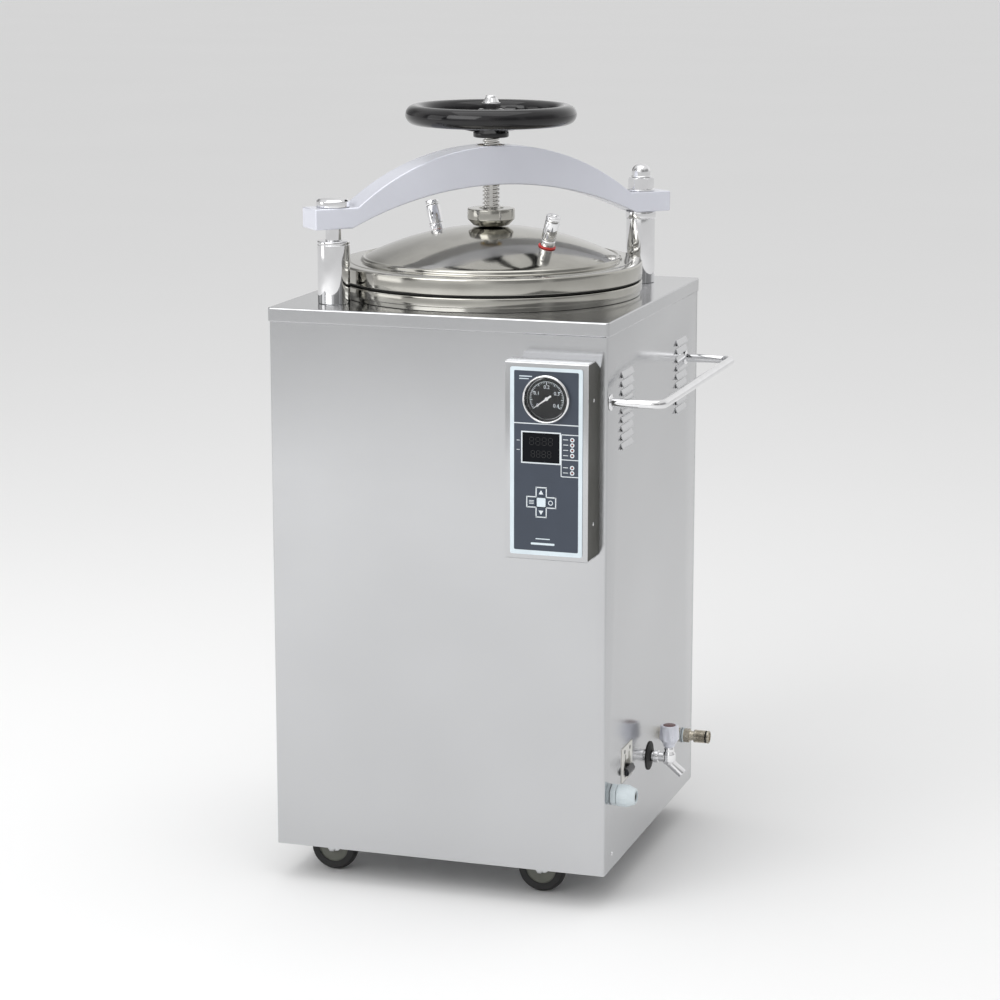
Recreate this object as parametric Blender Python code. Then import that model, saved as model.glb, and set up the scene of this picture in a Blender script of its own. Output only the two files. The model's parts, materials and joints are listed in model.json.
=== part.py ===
"""Vertical hand-wheel autoclave on castors, one closed solid for each separate piece.

Metres, +Z up. The pieces are laid out round the chamber's axis with the floor at Z = 0, and one
empty then carries them all, so that the world origin is the middle of the outline on the floor.
Front is -Y, the push handle is on +X. Run with: blender --background --python part.py
"""

from math import asin, atan2, cos, hypot, pi, radians, sin, sqrt

import bmesh
import bpy
from mathutils import Matrix, Vector

# Fits
GAP = 0.0003  # between pieces that touch
RUNNING = 0.0005  # radial play of a shaft in its hole
MERGE = 0.000003  # points this close are one
BEVEL = 0.0015  # turned edge break
ROUND = 40  # sides of the large rounds, which nest only if they all share it
MEDIUM = 20  # sides of pillars, collars and castors
SMALL = 14  # sides of small fittings
GAUGE_SIDES = 24

# Cabinet
CABINET_WIDTH = 0.440
CABINET_DEPTH = 0.440
CABINET_HEIGHT = 0.700  # lower edge to the top of the cover
GROUND_CLEARANCE = 0.047
SHEET = 0.0020
RETURN_WIDTH = 0.014  # folded edges that hold the rear panel
COVER_SHEET = 0.0015
COVER_PLATE = 0.003
COVER_SKIRT = 0.018
TRAY_PLATE = 0.003
TRAY_RIM = 0.030

# Louvres in the right side, counted down from the cover
LOUVRE_ROWS = 9
LOUVRE_PITCH = 0.0112
LOUVRE_DROP = 0.074
LOUVRE_LENGTH = 0.052
LOUVRE_SLOT = 0.003
LOUVRE_FROM_FRONT = 0.086  # to the middle of the front column
LOUVRE_FROM_BACK = 0.087

# Pressure vessel
CHAMBER_WALL = 0.003
CHAMBER_ROOM = 0.168  # under its floor, for the drain, tap and breaker
CHAMBER_CORNER = 0.018
DRAIN_RADIUS = 0.006
FLANGE_WIDTH = 0.0225  # outside the chamber's wall
CHAMBER_FLANGE = 0.0177
FLANGE_GAP = 0.003
GASKET_WIDTH = 0.018
GASKET_INSET = 0.004
JACKET_THICKNESS = 0.025
JACKET_ROOM = 0.0195  # to the cabinet's side
JACKET_RISE = 0.028  # above the chamber's floor
ANCHOR_THICKNESS = 0.012
ANCHOR_DROP = 0.040
ANCHOR_WIDTH = 0.012
ANCHOR_EAR = 0.020

# Lid
LID_FLANGE = 0.022
LID_WALL = 0.004
DOME_INSET = 0.0355  # from the flange's edge
DOME_RISE = 0.037
DOME_STEP = 0.006
DOME_BEAD = 0.005
COLLAR_RADIUS = 0.0306
COLLAR_HEIGHT = 0.023
COLLAR_CHAMFER = 0.006
VALVE_INSET = 0.050  # from the dome's edge
SAFETY_VALVE_ANGLE = radians(-32)
VALVE_BODY_RADIUS = 0.0092
VALVE_BODY_HEIGHT = 0.034
VALVE_STEM_RADIUS = 0.0055
VALVE_STEM_LENGTH = 0.010
VALVE_CAP_HEIGHT = 0.0065
VALVE_CAP_LIFT = 0.003

# Pillars, each PILLAR_OFFSET from the axis along X and along Y
PILLAR_CLEARANCE = 0.02653  # from the flange's edge to the pillar's axis
ROD_RADIUS = 0.010
SLEEVE_WALL_LEFT = 0.0100
LEFT_SLEEVE_HEIGHT = 0.079
RIGHT_SLEEVE_RADIUS = 0.019
RIGHT_COLLAR_HEIGHT = 0.009
RIGHT_COLLAR_PROUD = 0.001
BUTTON_RADIUS = 0.0212
BUTTON_HEIGHT = 0.0117
WASHER_RADIUS = 0.018
WASHER_THICKNESS = 0.0025
NUT_CORNER_RADIUS = 0.017
NUT_HEIGHT = 0.015
CAP_RADIUS = 0.0123
CAP_HEIGHT = 0.018

# Cross beam
BEAM_UNDERSIDE = 0.095  # of its flat ends, above the cover
BEAM_END_THICKNESS = 0.026
BEAM_END_LENGTH = 0.033  # past each pillar's axis
BEAM_WIDTH = 0.042
ARCH_TOP_RISE = 0.0695  # crown above the top of the flat ends
ARCH_UNDER_RISE = 0.0455  # crown above the underside of the flat ends
ARCH_TOP_INSET = 0.02603  # from the pillar's axis to where the top begins to rise
ARCH_UNDER_INSET = 0.01803
HOOK_CLEARANCE = 0.001
BUSH_WALL = 0.006

# Screw and handwheel
SCREW_RADIUS = 0.011
SCREW_NECK_RADIUS = 0.008
SCREW_TIP_RADIUS = 0.0105
SCREW_TIP_HEIGHT = 0.011
SPIGOT_RADIUS = 0.007
HUB_ABOVE_BEAM = 0.0095
HUB_RADIUS = 0.023
HUB_HEIGHT = 0.036
HUB_NOSE_RADIUS = 0.0165
WHEEL_RIM_RADIUS = 0.0975
WHEEL_RIM_SECTION = 0.0125
WHEEL_RIM_ABOVE_HUB = 0.029
SPOKE_COUNT = 3
SPOKE_WIDTH = 0.020
SPOKE_THICKNESS = 0.010
TOP_NUT_RADIUS = 0.0125
TOP_NUT_HEIGHT = 0.017

# Inside the chamber
HEATER_TUBE = 0.005
HEATER_INSET = 0.065  # from the chamber's wall
HEATER_RISE = 0.020
SIEVE_CLEARANCE = 0.018
SIEVE_RISE = 0.048
SIEVE_PLATE = 0.002
SIEVE_HOLES = 6
SIEVE_HOLE_RADIUS = 0.011
BASKET_CLEARANCE = 0.020
BASKET_DROP = 0.1697  # rim below the flange's top
BASKET_WALL = 0.002
BAIL_TUBE = 0.003
BAIL_CLEARANCE = 0.0015
EAR_HEIGHT = 0.009

# Control box on the front
BOX_WIDTH = 0.104
BOX_HEIGHT = 0.243
BOX_DEPTH = 0.052
BOX_SHEET = 0.0015
BOX_SIDE_INSET = 0.009  # from the cabinet's right edge
BOX_DROP = 0.043  # from the cover's top
BOX_CHAMFER_DEPTH = 0.021
BOX_CHAMFER_HEIGHT = 0.011
MEMBRANE_THICKNESS = 0.0012
MEMBRANE_MARGIN = 0.0065
GAUGE_DROP = 0.044  # from the box's top
GAUGE_SHIFT = 0.0005
BEZEL_RADIUS = 0.0295
BEZEL_WALL = 0.003
BEZEL_PROUD = 0.006
CASE_RADIUS = 0.0265
CASE_DEPTH = 0.026
DIAL_THICKNESS = 0.0008
DIAL_SINK = 0.0005
GLASS_THICKNESS = 0.0015
NEEDLE_LENGTH = 0.019
NEEDLE_TAIL = 0.007
NEEDLE_WIDTH = 0.0012
NEEDLE_THICKNESS = 0.0006
NEEDLE_HUB = 0.0024
NEEDLE_ZERO = radians(216)
DISPLAY_WIDTH = 0.047
DISPLAY_HEIGHT = 0.036
DISPLAY_THICKNESS = 0.002
DISPLAY_DROP = 0.104
DISPLAY_SHIFT = -0.0065
KEY_SIZE = 0.0105
KEY_SPACING = 0.0121  # from the pad's middle to each key's
KEY_DEPTH = 0.005
KEY_PROUD = 0.0009
KEY_PAD_DROP = 0.171
KEY_PAD_SHIFT = -0.0060

# Fittings on the right side: distance from the front or back, then height above the lower edge
GLAND_FROM_FRONT = 0.034
GLAND_HEIGHT = 0.098
GLAND_RADIUS = 0.0142
GLAND_BORE = 0.005
GLAND_THREAD_RADIUS = 0.010
GLAND_FLANGE_LENGTH = 0.008
GLAND_CAP_LENGTH = 0.024
BREAKER_FROM_FRONT = 0.102
BREAKER_HEIGHT = 0.121
BREAKER_WIDTH = 0.050
BREAKER_TALL = 0.045
BREAKER_DEPTH = 0.055
BREAKER_PROUD = 0.001
BREAKER_WINDOW_GAP = 0.001
LEVER_WIDTH = 0.030
LEVER_LENGTH = 0.0135
LEVER_THICKNESS = 0.005
LEVER_DROP = 0.006
LEVER_TILT = radians(-35)
LEVER_WELL = 0.009
TAP_FROM_FRONT = 0.214
TAP_HEIGHT = 0.097
TAP_REACH = 0.027
TAP_STEM_RADIUS = 0.0058
TAP_BARREL_RADIUS = 0.0078
TAP_BARREL_BELOW = 0.009
TAP_BARREL_ABOVE = 0.015
TAP_SPOUT_RADIUS = 0.0065
TAP_SPOUT_BORE = 0.0045
TAP_SPOUT_LENGTH = 0.031
TAP_SPOUT_ANGLE = radians(50)  # from straight down, outwards
TAP_FLANGE_RADIUS = 0.011
ESCUTCHEON_RADIUS = 0.019
ESCUTCHEON_THICKNESS = 0.003
KNOB_RADIUS = 0.0132
KNOB_HEIGHT = 0.029
EXHAUST_FROM_BACK = 0.048
EXHAUST_HEIGHT = 0.075
EXHAUST_THREAD_RADIUS = 0.0065
EXHAUST_HEX_RADIUS = 0.0100
EXHAUST_HEX_START = 0.002
EXHAUST_HEX_LENGTH = 0.011
EXHAUST_NOSE_RADIUS = 0.0062
EXHAUST_LENGTH = 0.0375
EXHAUST_BORE = 0.0035
SLEEVE_TRAVEL = 0.003
SLEEVE_RADIUS = 0.0092
THREAD_INSIDE = 0.014  # what each side fitting has behind the panel

# Push handle on the right side
HANDLE_TUBE = 0.006
HANDLE_REACH = 0.064  # panel to the bar's middle
HANDLE_BEND = 0.014
HANDLE_DROP = 0.099
HANDLE_FROM_FRONT = 0.013
HANDLE_FROM_BACK = 0.063

# Castors
CASTOR_INSET_X = 0.078
CASTOR_INSET_Y = 0.058
CASTOR_RISE = 0.022  # above the wheel's top
CASTOR_TRAIL = 0.020
WHEEL_RADIUS = 0.0315
WHEEL_WIDTH = 0.020
WHEEL_GAP = 0.0015
FORK_SHEET = 0.003
FORK_LIP = 0.0005
RACE_RADIUS = 0.020
RACE_HEIGHT = 0.005
AXLE_RADIUS = 0.004
KING_PIN_RADIUS = 0.005
KING_HEAD_RADIUS = 0.009
KING_HEAD_HEIGHT = 0.003

# Places that follow from the cabinet
FRONT_Y = -CABINET_DEPTH / 2
BACK_Y = CABINET_DEPTH / 2
LOUVRE_COLUMN_Y = (FRONT_Y + LOUVRE_FROM_FRONT, BACK_Y - LOUVRE_FROM_BACK)
GLAND_Y = FRONT_Y + GLAND_FROM_FRONT
BREAKER_Y = FRONT_Y + BREAKER_FROM_FRONT
TAP_Y = FRONT_Y + TAP_FROM_FRONT
EXHAUST_Y = BACK_Y - EXHAUST_FROM_BACK
HANDLE_Y = (FRONT_Y + HANDLE_FROM_FRONT, BACK_Y - HANDLE_FROM_BACK)
CASTOR_HEIGHT = 2 * WHEEL_RADIUS + CASTOR_RISE

# Radii that follow from the cabinet's inside, from the jacket inwards
JACKET_OUTER = min(CABINET_WIDTH, CABINET_DEPTH) / 2 - SHEET - JACKET_ROOM
JACKET_INNER = JACKET_OUTER - JACKET_THICKNESS
CHAMBER_RADIUS = JACKET_INNER - RUNNING - CHAMBER_WALL
FLANGE_RADIUS = CHAMBER_RADIUS + CHAMBER_WALL + FLANGE_WIDTH
DOME_RADIUS = FLANGE_RADIUS - DOME_INSET
VALVE_CIRCLE = DOME_RADIUS - VALVE_INSET
HEATER_RADIUS = CHAMBER_RADIUS - HEATER_INSET
SIEVE_RADIUS = CHAMBER_RADIUS - SIEVE_CLEARANCE
BASKET_RADIUS = CHAMBER_RADIUS - BASKET_CLEARANCE
PILLAR_SPAN = 2 * (FLANGE_RADIUS + PILLAR_CLEARANCE)
PILLAR_OFFSET = PILLAR_SPAN / 2 / sqrt(2)
ARCH_TOP_HALF = PILLAR_SPAN / 2 - ARCH_TOP_INSET
ARCH_UNDER_HALF = PILLAR_SPAN / 2 - ARCH_UNDER_INSET

# Heights that follow from the sizes
COVER_TOP = GROUND_CLEARANCE + CABINET_HEIGHT
FLANGE_BOTTOM = COVER_TOP + GAP
FLANGE_TOP = FLANGE_BOTTOM + CHAMBER_FLANGE
LID_BOTTOM = FLANGE_TOP + FLANGE_GAP
LID_FLANGE_TOP = LID_BOTTOM + LID_FLANGE
DOME_BASE = LID_FLANGE_TOP + DOME_STEP
CROWN = DOME_BASE + DOME_RISE
DOME_SPHERE = (DOME_RADIUS**2 + DOME_RISE**2) / (2 * DOME_RISE)
COLLAR_TOP = CROWN + COLLAR_HEIGHT
CHAMBER_FLOOR = GROUND_CLEARANCE + CHAMBER_ROOM
BEAM_BOTTOM = COVER_TOP + BEAM_UNDERSIDE
BEAM_END_TOP = BEAM_BOTTOM + BEAM_END_THICKNESS
ARCH_TOP = BEAM_END_TOP + ARCH_TOP_RISE
ARCH_UNDER = BEAM_BOTTOM + ARCH_UNDER_RISE
HUB_BOTTOM = ARCH_TOP + HUB_ABOVE_BEAM
HUB_TOP = HUB_BOTTOM + HUB_HEIGHT
ANCHOR_TOP = COVER_TOP - ANCHOR_DROP
PANEL_X = CABINET_WIDTH / 2  # outer face of the right side
BOX_RIGHT = PANEL_X - BOX_SIDE_INSET
BOX_MIDDLE = BOX_RIGHT - BOX_WIDTH / 2
BOX_TOP = COVER_TOP - BOX_DROP
BOX_FACE = FRONT_Y - GAP - BOX_DEPTH
MEMBRANE_FACE = BOX_FACE - GAP - MEMBRANE_THICKNESS
BASKET_FLOOR = CHAMBER_FLOOR + SIEVE_RISE + SIEVE_PLATE + GAP
BASKET_RIM = FLANGE_TOP - BASKET_DROP

MATERIALS = {}


def material(name, colour, roughness, metallic=0.0, alpha=1.0):
    """One Principled material for each finish."""
    if name not in MATERIALS:
        made = bpy.data.materials.new(name)
        made.use_nodes = True
        shader = made.node_tree.nodes["Principled BSDF"]
        shader.inputs["Base Color"].default_value = (*colour, 1.0)
        shader.inputs["Roughness"].default_value = roughness
        shader.inputs["Metallic"].default_value = metallic
        shader.inputs["Alpha"].default_value = alpha
        MATERIALS[name] = made
    return MATERIALS[name]


def satin_steel():
    return material("satin_steel", (0.62, 0.63, 0.64), 0.32, 1.0)


def mirror_steel():
    return material("mirror_steel", (0.70, 0.70, 0.69), 0.08, 1.0)


def chrome():
    return material("chrome", (0.80, 0.80, 0.81), 0.06, 1.0)


def nickel():
    return material("nickel", (0.55, 0.50, 0.42), 0.22, 1.0)


def silver_enamel():
    return material("silver_enamel", (0.60, 0.61, 0.66), 0.30)


def black_gloss():
    return material("black_gloss", (0.010, 0.010, 0.012), 0.12)


def black_rubber():
    return material("black_rubber", (0.015, 0.015, 0.015), 0.75)


def finished(name, bm, surface, location=(0, 0, 0), rotation=(0, 0, 0)):
    """A bmesh made into an object: round faces smooth, real edges sharp."""
    bmesh.ops.recalc_face_normals(bm, faces=bm.faces)
    mesh = bpy.data.meshes.new(name)
    bm.to_mesh(mesh)
    bm.free()
    mesh.shade_smooth()
    mesh.set_sharp_from_angle(angle=radians(32))
    piece = bpy.data.objects.new(name, mesh)
    piece.data.materials.append(surface)
    piece.location = location
    piece.rotation_euler = rotation
    bpy.context.scene.collection.objects.link(piece)
    return piece


def turned(profile, steps):
    """A closed profile of (radius, height) points spun once round the Z axis."""
    bm = bmesh.new()
    corners = [bm.verts.new((radius, 0, height)) for radius, height in profile]
    edges = [bm.edges.new(pair) for pair in zip(corners, corners[1:])]
    if min(radius for radius, height in profile) > 0:
        edges.append(bm.edges.new((corners[-1], corners[0])))
    bmesh.ops.spin(bm, geom=corners + edges, axis=(0, 0, 1), cent=(0, 0, 0), steps=steps, angle=2 * pi)
    bmesh.ops.remove_doubles(bm, verts=bm.verts, dist=MERGE)
    return bm


def block(low, high):
    """A box between two corners."""
    bm = bmesh.new()
    size = Vector(high) - Vector(low)
    middle = (Vector(high) + Vector(low)) / 2
    bmesh.ops.create_cube(bm, size=1.0, matrix=Matrix.Translation(middle) @ Matrix.Diagonal((*size, 1.0)))
    return bm


def prism(outline, depth):
    """A flat outline of (x, y) points raised by depth along +Z."""
    bm = bmesh.new()
    face = bm.faces.new([bm.verts.new((x, y, 0)) for x, y in outline])
    raised = bmesh.ops.extrude_face_region(bm, geom=[face])["geom"]
    top = [item for item in raised if isinstance(item, bmesh.types.BMVert)]
    bmesh.ops.translate(bm, verts=top, vec=(0, 0, depth))
    return bm


def moved(bm, matrix):
    bmesh.ops.transform(bm, matrix=matrix, verts=bm.verts)
    return bm


def rod(radius, low, high, steps=SMALL):
    """A plain round bar along Z."""
    return turned([(0, low), (radius, low), (radius, high), (0, high)], steps)


def along(direction, start=(0, 0, 0)):
    """Turns +Z to a direction and moves the origin to start."""
    turn = Vector((0, 0, 1)).rotation_difference(Vector(direction)).to_matrix().to_4x4()
    return Matrix.Translation(start) @ turn


def bar_along(radius, start, end, steps=SMALL):
    """A round bar between two points."""
    reach = Vector(end) - Vector(start)
    return moved(rod(radius, 0, reach.length, steps), along(reach, start))


def shaped(piece, operation, tools):
    """Cuts the tools from a piece, or joins them to it, and keeps the result as its mesh."""
    helpers = []
    for number, tool in enumerate(tools):
        helper = finished(f"{piece.name}_tool_{number}", tool, piece.data.materials[0])
        modifier = piece.modifiers.new(operation, "BOOLEAN")
        modifier.operation = operation
        modifier.object = helper
        helpers.append(helper)
    bpy.context.view_layer.update()
    evaluated = piece.evaluated_get(bpy.context.evaluated_depsgraph_get())
    result = bpy.data.meshes.new_from_object(evaluated)
    bm = bmesh.new()
    bm.from_mesh(result)
    bmesh.ops.remove_doubles(bm, verts=bm.verts, dist=MERGE)
    bmesh.ops.dissolve_degenerate(bm, edges=bm.edges, dist=MERGE)
    bm.to_mesh(result)
    bm.free()
    piece.modifiers.clear()
    piece.data = result
    result.set_sharp_from_angle(angle=radians(32))
    for helper in helpers:
        bpy.data.objects.remove(helper)
    return piece


def cut(piece, *tools):
    return shaped(piece, "DIFFERENCE", tools)


def join(piece, *tools):
    return shaped(piece, "UNION", tools)


def tube(name, points, radius, surface, sides=2):
    """A round rod bent along a smooth run of points."""
    curve = bpy.data.curves.new(name, "CURVE")
    curve.dimensions = "3D"
    curve.bevel_depth = radius
    curve.bevel_resolution = sides
    curve.use_fill_caps = True
    spline = curve.splines.new("POLY")
    spline.points.add(len(points) - 1)
    for point, place in zip(spline.points, points):
        point.co = (*place, 1.0)
    curve.materials.append(surface)
    piece = bpy.data.objects.new(name, curve)
    bpy.context.scene.collection.objects.link(piece)
    return piece


def arc(middle, radius, start, end, count):
    """Points (u, v) round a middle, from one angle to another."""
    turns = [start + (end - start) * step / (count - 1) for step in range(count)]
    return [(middle[0] + radius * cos(turn), middle[1] + radius * sin(turn)) for turn in turns]


def origin_to(piece, place):
    """Moves a piece's origin, and not its mesh, onto its joint's axis."""
    piece.data.transform(Matrix.Translation(-Vector(place)))
    piece.location = place
    return piece


# Cabinet ------------------------------------------------------------------------------------


def cabinet_shell():
    """Front and both sides folded from one sheet, with narrow returns at the back."""
    half, front, back = CABINET_WIDTH / 2, FRONT_Y, CABINET_DEPTH / 2 - SHEET - GAP
    inner = half - SHEET
    edge = half - RETURN_WIDTH
    right = [(half, front), (half, back), (edge, back), (edge, back - SHEET), (inner, back - SHEET)]
    outline = right + [(inner, front + SHEET)]
    outline += [(-x, y) for x, y in reversed(outline)]
    height = CABINET_HEIGHT - COVER_PLATE - GAP
    shell = finished("cabinet_shell", prism(outline, height), satin_steel(), (0, 0, GROUND_CLEARANCE))
    tools = []
    for column in LOUVRE_COLUMN_Y:
        for row in range(LOUVRE_ROWS):
            height = COVER_TOP - LOUVRE_DROP - row * LOUVRE_PITCH
            low = (inner - SHEET, column - LOUVRE_LENGTH / 2, height - LOUVRE_SLOT)
            tools.append(block(low, (half + SHEET, column + LOUVRE_LENGTH / 2, height)))
    margin = BREAKER_WINDOW_GAP
    middle = GROUND_CLEARANCE + BREAKER_HEIGHT
    low = (inner - SHEET, BREAKER_Y - BREAKER_WIDTH / 2 - margin, middle - BREAKER_TALL / 2 - margin)
    high = (half + SHEET, BREAKER_Y + BREAKER_WIDTH / 2 + margin, middle + BREAKER_TALL / 2 + margin)
    tools.append(block(low, high))
    holes = (
        (GLAND_Y, GLAND_HEIGHT, GLAND_THREAD_RADIUS),
        (TAP_Y, TAP_HEIGHT, TAP_STEM_RADIUS),
        (EXHAUST_Y, EXHAUST_HEIGHT, EXHAUST_THREAD_RADIUS),
    )
    for side, height, radius in holes:
        start = (inner - SHEET, side, GROUND_CLEARANCE + height)
        tools.append(bar_along(radius + RUNNING, start, (half + SHEET, *start[1:])))
    window = BOX_SHEET + GAP + RETURN_WIDTH
    low = (BOX_MIDDLE - BOX_WIDTH / 2 + window, front - SHEET, BOX_TOP - BOX_HEIGHT + window)
    tools.append(block(low, (BOX_RIGHT - window, front + 2 * SHEET, BOX_TOP - window)))
    return cut(shell, *tools)


def rear_panel():
    half = CABINET_WIDTH / 2
    top = COVER_TOP - COVER_PLATE - GAP
    low = (-half, CABINET_DEPTH / 2 - SHEET, GROUND_CLEARANCE)
    return finished("rear_panel", block(low, (half, CABINET_DEPTH / 2, top)), satin_steel())


def top_cover():
    """Pressed lid of the cabinet, holed for the chamber and both pillar rods."""
    half_x = CABINET_WIDTH / 2 + GAP
    half_y = CABINET_DEPTH / 2 + GAP
    skirt = COVER_TOP - COVER_SKIRT
    low = (-half_x - COVER_SHEET, -half_y - COVER_SHEET, skirt)
    high = (half_x + COVER_SHEET, half_y + COVER_SHEET, COVER_TOP)
    cover = finished("top_cover", block(low, high), mirror_steel())
    under = COVER_TOP - COVER_PLATE
    inside = block((-half_x, -half_y, skirt - COVER_SKIRT), (half_x, half_y, under))
    neck = rod(CHAMBER_RADIUS + CHAMBER_WALL + RUNNING, under - COVER_PLATE, COVER_TOP + COVER_PLATE, ROUND)
    holes = [moved(rod(ROD_RADIUS + RUNNING, under - COVER_PLATE, COVER_TOP + COVER_PLATE, MEDIUM),
                   Matrix.Translation((side * PILLAR_OFFSET, side * PILLAR_OFFSET, 0)))
             for side in (-1, 1)]
    return cut(cover, inside, neck, *holes)


def castor_places():
    """Swivel axes by corner name."""
    reach_x = CABINET_WIDTH / 2 - CASTOR_INSET_X
    reach_y = CABINET_DEPTH / 2 - CASTOR_INSET_Y
    return {
        "front_left": (-reach_x, -reach_y),
        "front_right": (reach_x, -reach_y),
        "rear_left": (-reach_x, reach_y),
        "rear_right": (reach_x, reach_y),
    }


def floor_tray():
    """Stiff floor with a turned-down rim, holed for the castors' king pins."""
    half_x = CABINET_WIDTH / 2 - SHEET - GAP
    front = FRONT_Y + SHEET + GAP
    back = CABINET_DEPTH / 2 - 2 * (SHEET + GAP)
    bottom = CASTOR_HEIGHT - TRAY_RIM
    tray = block((-half_x, front, bottom), (half_x, back, CASTOR_HEIGHT + TRAY_PLATE))
    tray = finished("floor_tray", tray, satin_steel())
    low = (-half_x + SHEET, front + SHEET, bottom - TRAY_RIM)
    tools = [block(low, (half_x - SHEET, back - SHEET, CASTOR_HEIGHT))]
    top = CASTOR_HEIGHT + 2 * TRAY_PLATE
    for x, y in castor_places().values():
        pin = rod(KING_PIN_RADIUS + RUNNING, CASTOR_HEIGHT - TRAY_PLATE, top)
        tools.append(moved(pin, Matrix.Translation((x, y, 0))))
    return cut(tray, *tools)


# Pressure vessel ----------------------------------------------------------------------------


def chamber():
    """Round pot with a rolled bottom corner, a drain in its floor and a flange on the cover."""
    inside, outside = CHAMBER_RADIUS, CHAMBER_RADIUS + CHAMBER_WALL
    floor, under = CHAMBER_FLOOR, CHAMBER_FLOOR - CHAMBER_WALL
    corner = arc((inside - CHAMBER_CORNER, floor + CHAMBER_CORNER), CHAMBER_CORNER, 0, -pi / 2, 4)
    outer = arc(
        (inside - CHAMBER_CORNER, floor + CHAMBER_CORNER), CHAMBER_CORNER + CHAMBER_WALL, -pi / 2, 0, 4
    )
    flange = [
        (outside, FLANGE_BOTTOM),
        (FLANGE_RADIUS - BEVEL, FLANGE_BOTTOM),
        (FLANGE_RADIUS, FLANGE_BOTTOM + BEVEL),
        (FLANGE_RADIUS, FLANGE_TOP - BEVEL),
        (FLANGE_RADIUS - BEVEL, FLANGE_TOP),
        (inside, FLANGE_TOP),
    ]
    profile = [(DRAIN_RADIUS, floor), (DRAIN_RADIUS, under)] + outer + flange + corner
    return finished("chamber", turned(profile, ROUND), mirror_steel())


def lid_gasket():
    outer = FLANGE_RADIUS - GASKET_INSET
    inner = outer - GASKET_WIDTH
    low, high = FLANGE_TOP + GAP, LID_BOTTOM - GAP
    profile = [(inner, low), (outer, low), (outer, high), (inner, high)]
    return finished("lid_gasket", turned(profile, ROUND), black_rubber())


def insulation_jacket():
    inner, outer = JACKET_INNER, JACKET_OUTER
    low, high = CHAMBER_FLOOR + JACKET_RISE, ANCHOR_TOP - 2 * ANCHOR_THICKNESS
    profile = [(inner, low), (outer, low), (outer, high), (inner, high)]
    wool = material("mineral_wool", (0.75, 0.72, 0.60), 0.95)
    return finished("insulation_jacket", turned(profile, ROUND), wool)


def anchor_ring():
    """Ring round the chamber's neck, with an ear under each pillar."""
    inner = CHAMBER_RADIUS + CHAMBER_WALL + RUNNING
    outer = inner + ANCHOR_WIDTH
    low, high = ANCHOR_TOP - ANCHOR_THICKNESS, ANCHOR_TOP
    ring = turned([(inner, low), (outer, low), (outer, high), (inner, high)], ROUND)
    ring = finished("anchor_ring", ring, satin_steel())
    ears, holes = [], []
    for side in (-1, 1):
        turn = Matrix.Rotation(pi / 4 if side > 0 else 5 * pi / 4, 4, "Z")
        start = inner + ANCHOR_WIDTH / 2
        ear = block((start, -ANCHOR_EAR, low), (PILLAR_SPAN / 2 + ANCHOR_EAR, ANCHOR_EAR, high))
        ears.append(moved(ear, turn))
        hole = rod(ROD_RADIUS + RUNNING, low - ANCHOR_THICKNESS, high + ANCHOR_THICKNESS)
        holes.append(moved(hole, turn @ Matrix.Translation((PILLAR_SPAN / 2, 0, 0))))
    return cut(join(ring, *ears), *holes)


def heater():
    """Open loop over the chamber's floor, both ends turned down to it."""
    height = CHAMBER_FLOOR + HEATER_RISE
    gap_angle = radians(20)
    loop = arc((0, 0), HEATER_RADIUS, gap_angle, 2 * pi - gap_angle, 21)
    points = [(x, y, height) for x, y in loop]
    foot = CHAMBER_FLOOR + RUNNING
    for place, where in ((points[0], 0), (points[-1], len(points) + 1)):
        points.insert(where, (place[0] + HEATER_TUBE, place[1], height - HEATER_TUBE))
    points.insert(0, (points[0][0], points[0][1], foot))
    points.append((points[-1][0], points[-1][1], foot))
    return tube("heater", points, HEATER_TUBE, material("heater_steel", (0.35, 0.33, 0.31), 0.4, 1.0))


def sieve_plate():
    """Holed plate on a round skirt, which keeps the basket off the heater."""
    top = CHAMBER_FLOOR + SIEVE_RISE + SIEVE_PLATE
    foot = CHAMBER_FLOOR + CHAMBER_CORNER
    inner = SIEVE_RADIUS - SIEVE_PLATE
    edge = [(SIEVE_RADIUS, top), (SIEVE_RADIUS, foot), (inner, foot), (inner, top - SIEVE_PLATE)]
    plate = turned([(0, top)] + edge + [(0, top - SIEVE_PLATE)], MEDIUM)
    plate = finished("sieve_plate", plate, satin_steel())
    holes = []
    for number in range(SIEVE_HOLES):
        turn = Matrix.Rotation(2 * pi * (number + 0.3) / SIEVE_HOLES, 4, "Z")
        hole = rod(SIEVE_HOLE_RADIUS, top - 2 * SIEVE_PLATE, top + SIEVE_PLATE, 8)
        holes.append(moved(hole, turn @ Matrix.Translation((SIEVE_RADIUS * 0.6, 0, 0))))
    return cut(plate, *holes)


def basket():
    """Deep round basket with an ear each side for the bail."""
    outer, inner = BASKET_RADIUS, BASKET_RADIUS - BASKET_WALL
    floor, rim = BASKET_FLOOR, BASKET_RIM
    side = [(outer, floor), (outer, rim), (inner, rim), (inner, floor + BASKET_WALL)]
    bucket = turned([(0, floor)] + side + [(0, floor + BASKET_WALL)], ROUND)
    bucket = finished("basket", bucket, satin_steel())
    ears, holes = [], []
    pivot = rim + EAR_HEIGHT / 2
    for side in (-1, 1):
        near, far = sorted((side * inner, side * outer))
        ears.append(block((near, -EAR_HEIGHT, rim - EAR_HEIGHT), (far, EAR_HEIGHT, rim + EAR_HEIGHT)))
        start, end = (near - BASKET_WALL, 0, pivot), (far + BASKET_WALL, 0, pivot)
        holes.append(bar_along(BAIL_TUBE + RUNNING, start, end, 12))
    return origin_to(cut(join(bucket, *ears), *holes), (0, 0, floor))


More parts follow.
